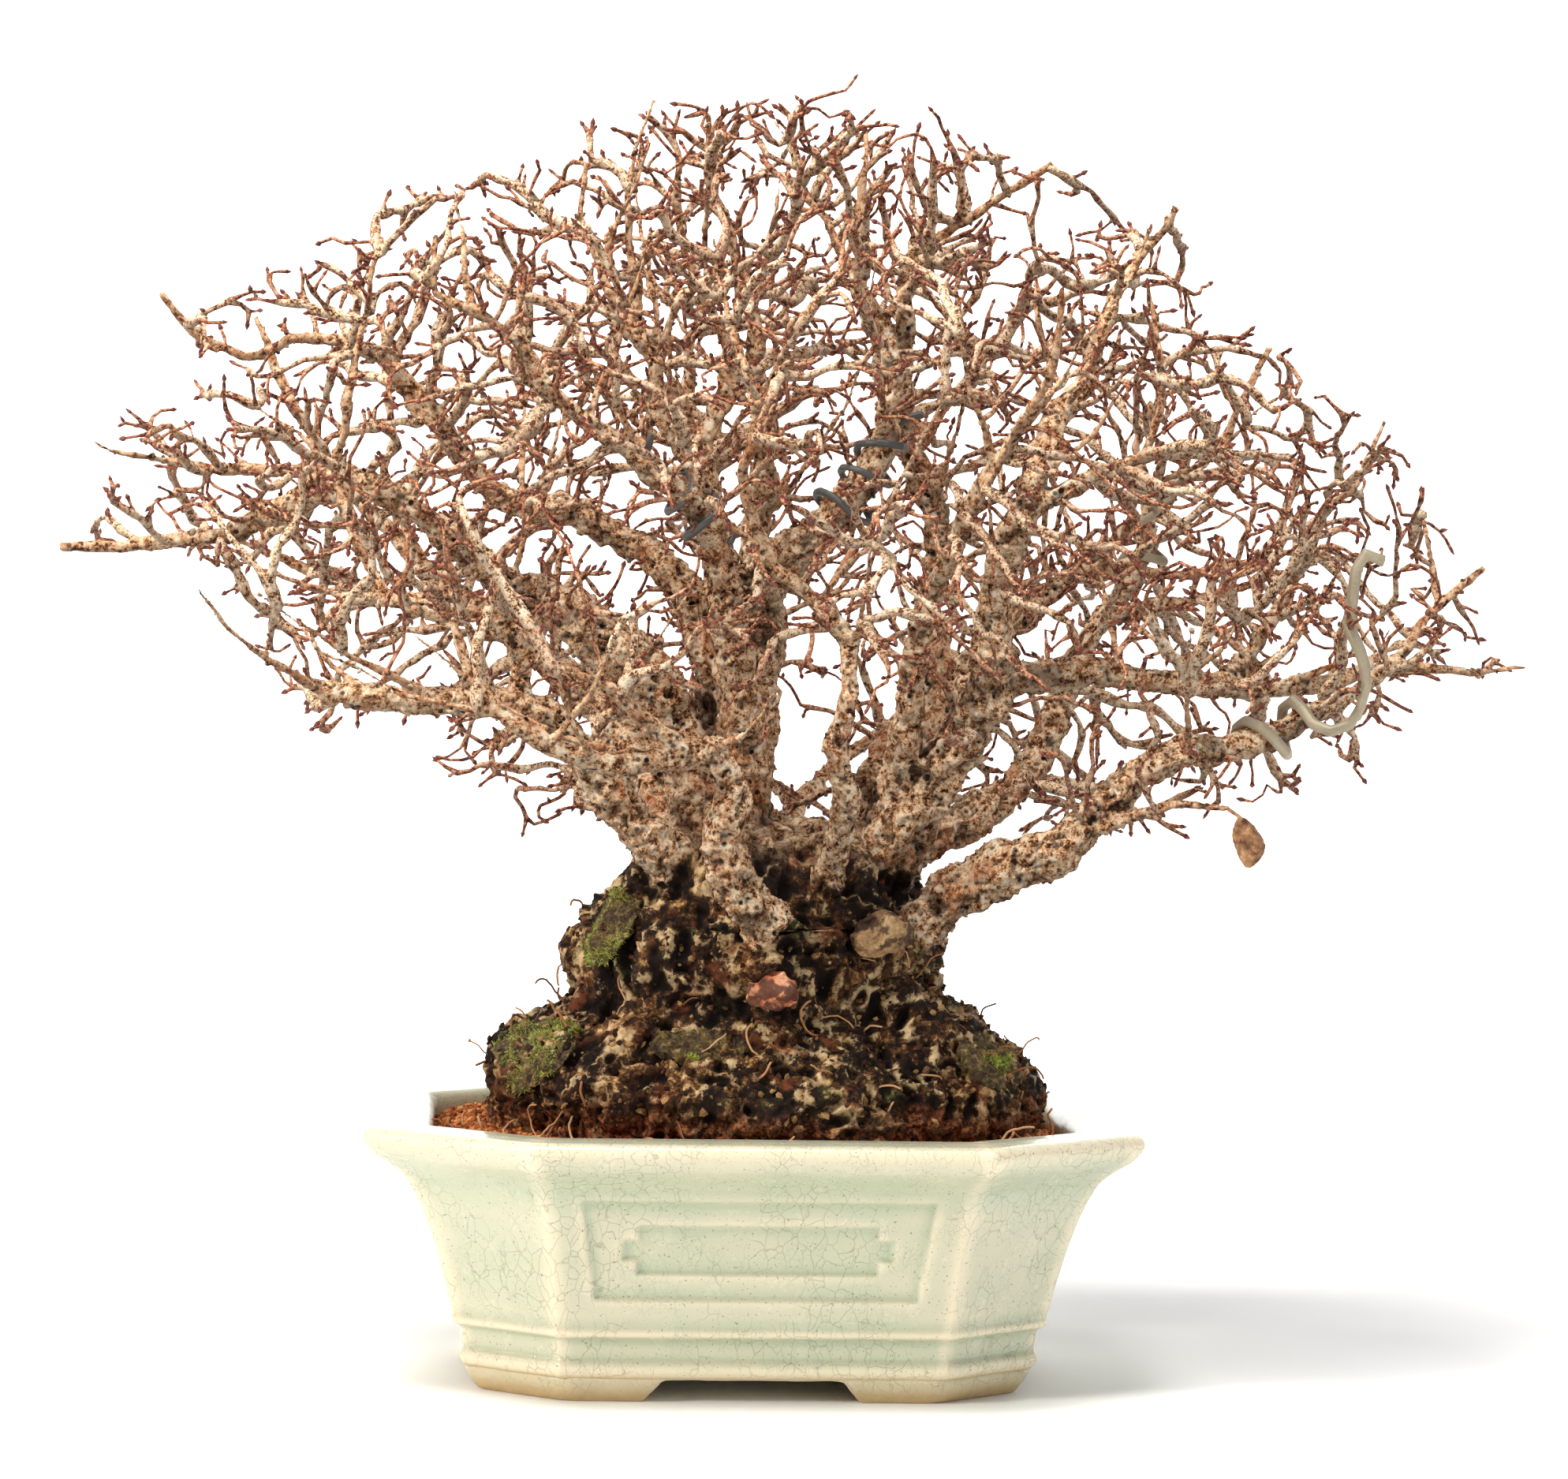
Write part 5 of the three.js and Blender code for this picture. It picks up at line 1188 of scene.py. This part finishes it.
# %% Scattered crumbs
def round_shape():
    """Points and triangles of a ball of radius 1."""
    shape = bmesh.new()
    bmesh.ops.create_icosphere(shape, subdivisions=1, radius=1)
    shape.verts.ensure_lookup_table()
    points = np.array([vertex.co[:] for vertex in shape.verts])
    faces = np.array([[vertex.index for vertex in face.verts] for face in shape.faces])
    shape.free()
    return points, faces


def turns(random, count):
    """Random rotations, one 3 x 3 block each."""
    first, second = unit(random.normal(size=(2, count, 3)))
    third = unit(np.cross(first, second))
    return np.stack([first, np.cross(third, first), third], axis=1)


def crumbs(places, sizes, flatness, roughness, seed):
    """Rough lumps at the places. Returns points, triangles and which lump owns each point."""
    random = np.random.default_rng(seed)
    ball, faces = round_shape()
    shape = ball[None] * (1 + roughness * random.uniform(-1, 1, (len(places), len(ball), 1)))
    shape = shape * random.uniform(flatness, 1, (len(places), 1, 3)) * sizes[:, None, None]
    points = np.einsum("nij,nkj->nki", turns(random, len(places)), shape) + places[:, None]
    owner = np.repeat(np.arange(len(places)), len(ball))
    all_faces = faces[None] + (np.arange(len(places)) * len(ball))[:, None, None]
    return points.reshape(-1, 3), all_faces.reshape(-1, 3), owner


def on_surface(points, faces, allowed, count, seed):
    """Random places on the allowed faces, spread by area."""
    random = np.random.default_rng(seed)
    a, b, c = (points[faces[allowed, corner]] for corner in range(3))
    area = np.linalg.norm(np.cross(b - a, c - a), axis=1)
    picked = random.choice(len(area), count, p=area / area.sum())
    u, v = random.uniform(size=(2, count, 1))
    u, v = np.where(u + v > 1, 1 - u, u), np.where(u + v > 1, 1 - v, v)
    return a[picked] * (1 - u - v) + b[picked] * u + c[picked] * v


print("a crumb has", len(round_shape()[0]), "points")

# %% Soil bed
bed_points, bed_quads, _ = fine_copy(["soil"], 1.5 * mm, 2)
bed_top = soft_step(bed_points[:, 2], 86 * mm, 87.6 * mm)
bed_rise = (0.9 * lumps(bed_points, 5 * mm, 41) + 0.6 * lumps(bed_points, 2.4 * mm, 42)
            + 0.9 * lumps(bed_points, 17 * mm, 43))
bed_points[:, 2] += bed_rise * bed_top * mm
piece("soil_bed", bed_points, bed_quads, soil_finish, "soil", ["soil"],
      tint=np.clip(0.45 + 0.2 * bed_rise, 0, 1))

# %% Soil grains
bed_faces = triangles_of(bed_quads)
bed_shading = smooth_normals(bed_points, bed_faces)
bare_soil = (bed_shading[bed_faces[:, 0], 2] > 0.6) & (bed_points[bed_faces[:, 0], 2] > 85.5 * mm)
grain_count = 2100
grain_places = on_surface(bed_points, bed_faces, bare_soil, grain_count, 51)
grain_random = np.random.default_rng(52)
grain_sizes = grain_random.uniform(0.8, 2.1, len(grain_places)) * mm
grain_points, grain_faces, grain_owner = crumbs(grain_places, grain_sizes, 0.6, 0.16, 53)
piece("soil_grains", grain_points, grain_faces, soil_finish, "soil", smooth=False,
      tint=grain_random.uniform(0.05, 1, len(grain_places))[grain_owner])

# %% [markdown]
# The root mound is old bark, dead root ends and crumbs of soil caught in them. Small chips pressed into its
# hollows break the skin up, darker than the ridges and here and there pale.

# %% Crumbs on the roots
mound = wood_pieces["mound"].data
mound_points = numbers_of(mound.vertices, "co", 3)
mound_faces = numbers_of(mound.loops, "vertex_index", 1, np.int32).reshape(-1, 3)
mound_root = numbers_of(mound.attributes["root"].data, "value", 1).ravel()
rooted = (mound_root[mound_faces].min(axis=1) > 0.5) & (mound_points[mound_faces[:, 0], 2] > 84 * mm)
chip_count = 2300
chip_places = on_surface(mound_points, mound_faces, rooted, chip_count, 61)
chip_random = np.random.default_rng(62)
low_down = 1 - soft_step(chip_places[:, 2], 95 * mm, 175 * mm)
chip_sizes = chip_random.uniform(0.7, 1.5 + 0.9 * low_down) * mm
chip_points, chip_faces, chip_owner = crumbs(chip_places, chip_sizes, 0.35, 0.3, 63)
chip_finish = crumbly("root_chips", srgb(16, 7, 3), srgb(80, 48, 27), srgb(206, 162, 108), 2.5 * mm)
piece("root_chips", chip_points, chip_faces, chip_finish, "root_bark", smooth=False,
      tint=(chip_random.uniform(0, 1, len(chip_places)) ** 1.6)[chip_owner])

# %% [markdown]
# Fine roots dry out and curl where they leave the mound. Each one wanders from a random place with a steady
# curl, rises a little and sinks again.

# %% Dead rootlets
def curled(starts, length, step, bend, lift, seed):
    """Thin curling lines that wander off from the starts. Returns joints and runs of them."""
    random = np.random.default_rng(seed)
    joints, lines = [], []
    for start in starts:
        count = int(random.uniform(*length) / step)
        heading = unit(np.append(random.normal(size=2), 0.25))
        curl = unit(random.normal(size=3) * [0.5, 0.5, 1])
        place = np.array(start)
        rows_made = []
        for number in range(count):
            rows_made.append(place)
            heading = unit(heading + bend * np.cross(curl, heading) + 0.22 * random.normal(size=3)
                           + [0, 0, lift * (1 - 2.2 * number / count)])
            place = place + heading * step
        lines.append(np.arange(len(joints), len(joints) + count))
        joints += rows_made
    return np.array(joints), lines


front_soil = bare_soil & (bed_points[bed_faces[:, 0], 1] < -20 * mm)
on_soil, on_mound = 45, 90
soil_starts = on_surface(bed_points, bed_faces, front_soil, on_soil, 71)
mound_starts = on_surface(mound_points, mound_faces, rooted, on_mound, 72)
all_starts = np.concatenate([soil_starts, mound_starts])
root_joints, root_lines = curled(all_starts, (6 * mm, 22 * mm), 1.4 * mm, 0.22, 0.12, 73)
root_joints[:, 2] = np.maximum(root_joints[:, 2], 87 * mm)
root_width = np.random.default_rng(74).uniform(0.28, 0.5, len(root_lines)) * mm
root_radii = np.repeat(root_width, [len(line) for line in root_lines])
rootlet_points, rootlet_faces, rootlet_owner = tubes(root_lines, root_joints, root_radii, 5)
rootlet_finish = crumbly("rootlets", srgb(92, 48, 26), srgb(176, 120, 78), srgb(222, 184, 140), 6 * mm)
tints = np.random.default_rng(75).uniform(0.1, 0.9, len(root_lines))
piece("rootlets", rootlet_points, rootlet_faces, rootlet_finish, "root_bark",
      tint=np.repeat(tints, [len(line) for line in root_lines])[rootlet_owner])

# %% [markdown]
# ## Knobs
# Old limbs are never smooth: stubs of lost twigs and callus beads stand out all along them. The skin's
# cells are too coarse for them, so they are small lumps of their own, half sunk in the bark.

# %% Knobs on the limbs
limb_faces = wood_faces[~on_trunk[wood_faces].any(axis=1)]
knob_count = 2300
knob_places = on_surface(wood_points, limb_faces, np.full(len(limb_faces), True), knob_count, 21)
knob_random = np.random.default_rng(22)
knob_sizes = knob_random.uniform(0.7, 1.7, knob_count) * mm
knob_points, knob_faces, knob_owner = crumbs(knob_places, knob_sizes, 0.55, 0.2, 23)
piece("limb_knobs", knob_points, knob_faces, bark_finish, "bark",
      girth=knob_random.uniform(2, 7, knob_count)[knob_owner],
      hollow=knob_random.uniform(0, 0.6, knob_count)[knob_owner],
      root=np.zeros(len(knob_points)))

# %% [markdown]
# ## Moss
# Moss creeps over the damp side of the mound: a thin olive film with brown bark showing through, and short
# bright leafy shoots in clumps on it. Hair would draw shoots fast, but it isn't a mesh, so each shoot is a
# small three-sided spike.

# %% Moss finish
def moss():
    finish = Finish("moss")
    tip, film = finish.made("tip"), finish.noise(4.5 * mm, 5, 0.7)
    grit = finish.noise(1.1 * mm, 3, 0.6)
    under = finish.ramp(0.6 * film + 0.4 * grit, [
        (0.36, srgb(24, 13, 7)), (0.46, srgb(62, 42, 22)), (0.53, srgb(92, 76, 32)),
        (0.64, srgb(158, 126, 78))])
    shoot = finish.ramp(finish.noise(3 * mm, 3, 0.6), [
        (0.35, srgb(122, 128, 32)), (0.5, srgb(178, 196, 58)), (0.68, srgb(226, 238, 126))])
    colour = finish.mix(tip, under, shoot)
    return finish.finished(colour, 0.85, film + 0.4 * grit, 0.8 * mm, Subsurface_Weight=0.05)


moss_finish = moss()

# %% Moss shoots
def shoots(places, normals, length, width, seed):
    """Little three-sided spikes that stand out from the places. Returns points, triangles and tip shares."""
    random = np.random.default_rng(seed)
    lean = unit(normals + 0.55 * random.normal(size=normals.shape) + [0, 0, 0.35])
    side = unit(np.cross(lean, random.normal(size=lean.shape)))
    other = np.cross(lean, side)
    long = random.uniform(*length, len(places))[:, None]
    corners = [places - 0.4 * mm * lean + width * (math.cos(turn) * side + math.sin(turn) * other)
               for turn in (0, 2.094, 4.189)]
    points = np.stack(corners + [places + lean * long], axis=1)
    faces = np.array([[0, 1, 3], [1, 2, 3], [2, 0, 3], [0, 2, 1]])
    all_faces = faces[None] + 4 * np.arange(len(places))[:, None, None]
    tips = np.tile([0.35, 0.35, 0.35, 1.0], len(places))
    return points.reshape(-1, 3), all_faces.reshape(-1, 3), tips


print("a shoot has", len(shoots(np.zeros((1, 3)), np.ones((1, 3)), (1, 2), 0.3, 1)[0]), "points")

# %% [markdown]
# Each pad has its share of shoots: the damp left side is the greenest. A pad with few shoots also sinks
# deeper into the bark, so that only scraps of it show.

# %% Moss pads
moss_share = {"moss_left_bump": 1.0, "moss_left_shoulder": 0.75, "moss_front_ledge": 0.3,
              "moss_right_lobe": 0.35, "moss_back": 0.8}
for number, node in enumerate(moss_share):
    points, quads, normals = fine_copy([node], 0.8 * mm, 3)
    rise = (1.8 * lumps(points, 8 * mm, 81) + 1.0 * crests(points, 3.6 * mm, 82)
            + 0.5 * lumps(points, 1.8 * mm, 83) - 1.0 - 1.1 * (1 - moss_share[node])) * mm
    points = points + normals * rise[:, None]
    faces = triangles_of(quads)
    shading = smooth_normals(points, faces)
    bushy = lumps(points, 8 * mm, 84) > 0.9 - 1.3 * moss_share[node]
    tufted = bushy[faces].all(axis=1)
    count = int(260 * moss_share[node]) + 60
    spots_here = on_surface(points, faces, tufted, count * 4, 85 + number)
    near = BVHTree.FromPolygons(points.tolist(), faces.tolist())
    out = np.array([shading[faces[near.find_nearest(Vector(spot))[2]][0]] for spot in spots_here])
    spikes, spike_faces, tips = shoots(spots_here, out, (0.9 * mm, 2.2 * mm), 0.32 * mm, 90 + number)
    all_faces = np.concatenate([faces, spike_faces + len(points)])
    tip = np.concatenate([0.18 * bushy * soft_step(rise, -0.5 * mm, 1 * mm), tips])
    piece(node + "_dress", np.concatenate([points, spikes]), all_faces, moss_finish, "moss", [node],
          smooth=False, tip=tip)

# %% [markdown]
# ## Stones, wires and leaf
# Two stones sit in the mound, one orange-pink and one worn tan. They are broken, not rolled, so sharp
# crests are pushed into a fine copy of each, and dirt darkens parts of it.

# %% Stones
def stone(name, dark, middle, light):
    finish = Finish(name)
    cloud = finish.noise(7 * mm, 5, 0.65)
    grit = finish.noise(1.3 * mm, 4, 0.7)
    dirt = finish.noise(9 * mm, 4, 0.6, twist=0.5).above(0.46, 0.54)
    colour = finish.ramp(0.6 * cloud + 0.4 * grit, [(0.38, dark), (0.5, middle), (0.66, light)])
    colour = finish.mix(dirt * 0.85, colour, srgb(48, 22, 13))
    return finish.finished(colour, 0.85, cloud + 0.4 * grit, 0.8 * mm)


stone_finishes = {
    "stone_pink": stone("pink_stone", srgb(158, 70, 40), srgb(214, 132, 92), srgb(244, 192, 154)),
    "stone_tan": stone("tan_stone", srgb(96, 66, 40), srgb(156, 122, 82), srgb(206, 176, 130)),
}
for node, finish_made in stone_finishes.items():
    points, quads, normals = fine_copy([node], 0.7 * mm, 2)
    rise = (2.2 * lumps(points, 9 * mm, 101) + 1.1 * crests(points, 5 * mm, 102)
            + 0.35 * lumps(points, 2 * mm, 103) - 2.6) * mm
    slot = node.replace("stone_", "") + "_stone"
    piece(node + "_dress", points + normals * rise[:, None], quads, finish_made, slot, [node])

# %% [markdown]
# The training wires are aluminium: pale ones put on lately and dark ones that have dulled. They follow the
# same sway as the limbs that they hold, and are dented a little, as wire bent by hand is.

# %% Wires
def metal(name, dark, light, rough):
    finish = Finish(name)
    drift = finish.noise(12 * mm, 4, 0.6)
    scratch = finish.noise(0.8 * mm, 3, 0.7)
    colour = finish.mix(0.6 * drift + 0.4 * scratch, dark, light)
    return finish.finished(colour, rough + 0.2 * drift, 0.6 * scratch + 0.4 * drift, 0.15 * mm, Metallic=0.3)


wire_finishes = {"pale": metal("pale_aluminium", srgb(118, 106, 84), srgb(204, 191, 165), 0.42),
                 "dark": metal("dark_aluminium", srgb(46, 46, 46), srgb(112, 112, 110), 0.35)}
for node in sorted(node for node in frame["nodes"] if node.startswith("wire_")):
    shade = node.rsplit("_", 1)[1]
    points, quads, normals = fine_copy([node], 0.45 * mm, 5)
    dent = 0.06 * lumps(points, 3 * mm, 111)[:, None] * mm
    points = points + normals * dent
    piece(node + "_bent", points + sway(points), quads, wire_finishes[shade], shade + "_wire", [node])

# %% [markdown]
# A single dead leaf still hangs on. The CAD leaf gives its outline; crumpling it along one direction keeps
# it thin. Its stalk runs from the leaf's top to the nearest wood.

# %% Dry leaf
def leaf():
    finish = Finish("dry_leaf")
    cloud = finish.noise(4 * mm, 5, 0.7)
    veins = finish.noise(0.9 * mm, 3, 0.6)
    colour = finish.ramp(cloud, [
        (0.36, srgb(70, 40, 24)), (0.5, srgb(138, 92, 58)), (0.66, srgb(196, 150, 104))])
    return finish.finished(colour, 0.7, cloud + 0.5 * veins, 0.4 * mm, Subsurface_Weight=0.08)


points, quads, normals = fine_copy(["dry_leaf"], 0.4 * mm, 2)
crumple = (0.9 * lumps(points, 7 * mm, 121) + 0.4 * crests(points, 3 * mm, 122))[:, None] * mm
steady = unit(normals.mean(axis=0) + np.array([0.2, -1.0, 0.3]))
points = points + crumple * steady
leaf_points = points + sway(points)
leaf_finish = leaf()
piece("dry_leaf_crumpled", leaf_points, quads, leaf_finish, "dry_leaf", ["dry_leaf"])

# %% Leaf stalk
stalk_end = leaf_points[leaf_points[:, 2].argmax()] - np.array([0, 0, 1.0 * mm])
holder = wood_points[np.linalg.norm(wood_points - stalk_end, axis=1).argmin()]
share = np.linspace(0, 1, 9)[:, None]
bow = np.sin(share * math.pi) * np.array([2.0, -1.5, -1.0]) * mm
stalk = stalk_end + (holder - stalk_end) * share + bow
stalk_points, stalk_faces, _ = tubes([np.arange(9)], stalk, np.linspace(0.4, 0.7, 9) * mm, 7)
piece("leaf_stalk", stalk_points, stalk_faces, leaf_finish, "dry_leaf")
print("stalk", round(float(np.linalg.norm(holder - stalk_end)) / mm, 1), "mm long")

# %% [markdown]
# ## Drainage
# A black plastic mesh keeps the soil in over each hole, and a wire clip holds it. They lie under the soil,
# so the CAD shapes stay as they are and only get a finish.

# %% Drainage
def plastic():
    finish = Finish("black_mesh")
    tone = finish.mix(finish.noise(3 * mm, 3, 0.6), srgb(28, 30, 31), srgb(52, 54, 54))
    rough = 0.55 + 0.2 * finish.noise(2 * mm, 2, 0.5)
    return finish.finished(tone, rough, finish.noise(1 * mm, 3, 0.6), 0.1 * mm)


drainage_finishes = {"drainage_mesh": plastic(), "mesh_clip": wire_finishes["dark"]}
for kind, drainage_finish in drainage_finishes.items():
    for side in ("left", "right"):
        data = frame["nodes"][f"{kind}_{side}"].data
        data.materials.clear()
        data.materials.append(drainage_finish)
        print(kind, side, "dressed in", drainage_finish.name)

# %% [markdown]
# ## Sweep
# The pot stands on a white sweep: a level floor that bends up into a wall far behind the tree. A lit wall
# would need lights of its own, so the sweep itself glows from half a metre behind the pot on, which leaves
# the floor round the pot free to show its shadow.

# %% Sweep
def sweep_finish():
    finish = Finish("white_sweep")
    back = finish.node("ShaderNodeSeparateXYZ", {}, {0: finish.place}, "Y").above(0.5, 1.0)
    tone = finish.noise(0.4, 2, 0.5)
    colour = finish.mix(tone, (0.95, 0.95, 0.95), (0.98, 0.98, 0.98))
    glow = finish.mix(back, (0.0, 0.0, 0.0), (1.0, 1.0, 1.0))
    return finish.finished(colour, 0.9 - 0.1 * tone, Emission_Color=glow, Emission_Strength=1.0)


floor_front, floor_back, bend_radius, wall_height, half_width = -5.0, 2.7, 0.5, 5.0, 7.0
bend = [(floor_front, 0.0), (floor_back, 0.0)]
for turn in np.linspace(0.1, math.pi / 2, 14):
    bend.append((floor_back + bend_radius * math.sin(turn), bend_radius * (1 - math.cos(turn))))
bend.append((floor_back + bend_radius, wall_height))
sweep_points = [(side, y, z) for y, z in bend for side in (-half_width, half_width)]
sweep_faces = [(2 * step, 2 * step + 1, 2 * step + 3, 2 * step + 2) for step in range(len(bend) - 1)]
sweep_mesh = bpy.data.meshes.new("sweep")
sweep_mesh.from_pydata(sweep_points, [], sweep_faces)
sweep_mesh.polygons.foreach_set("use_smooth", np.full(len(sweep_faces), True))
sweep_mesh.materials.append(sweep_finish())
sweep = bpy.data.objects.new("sweep", sweep_mesh)
bpy.context.collection.objects.link(sweep)
print("sweep", len(sweep_faces), "faces")

# %% [markdown]
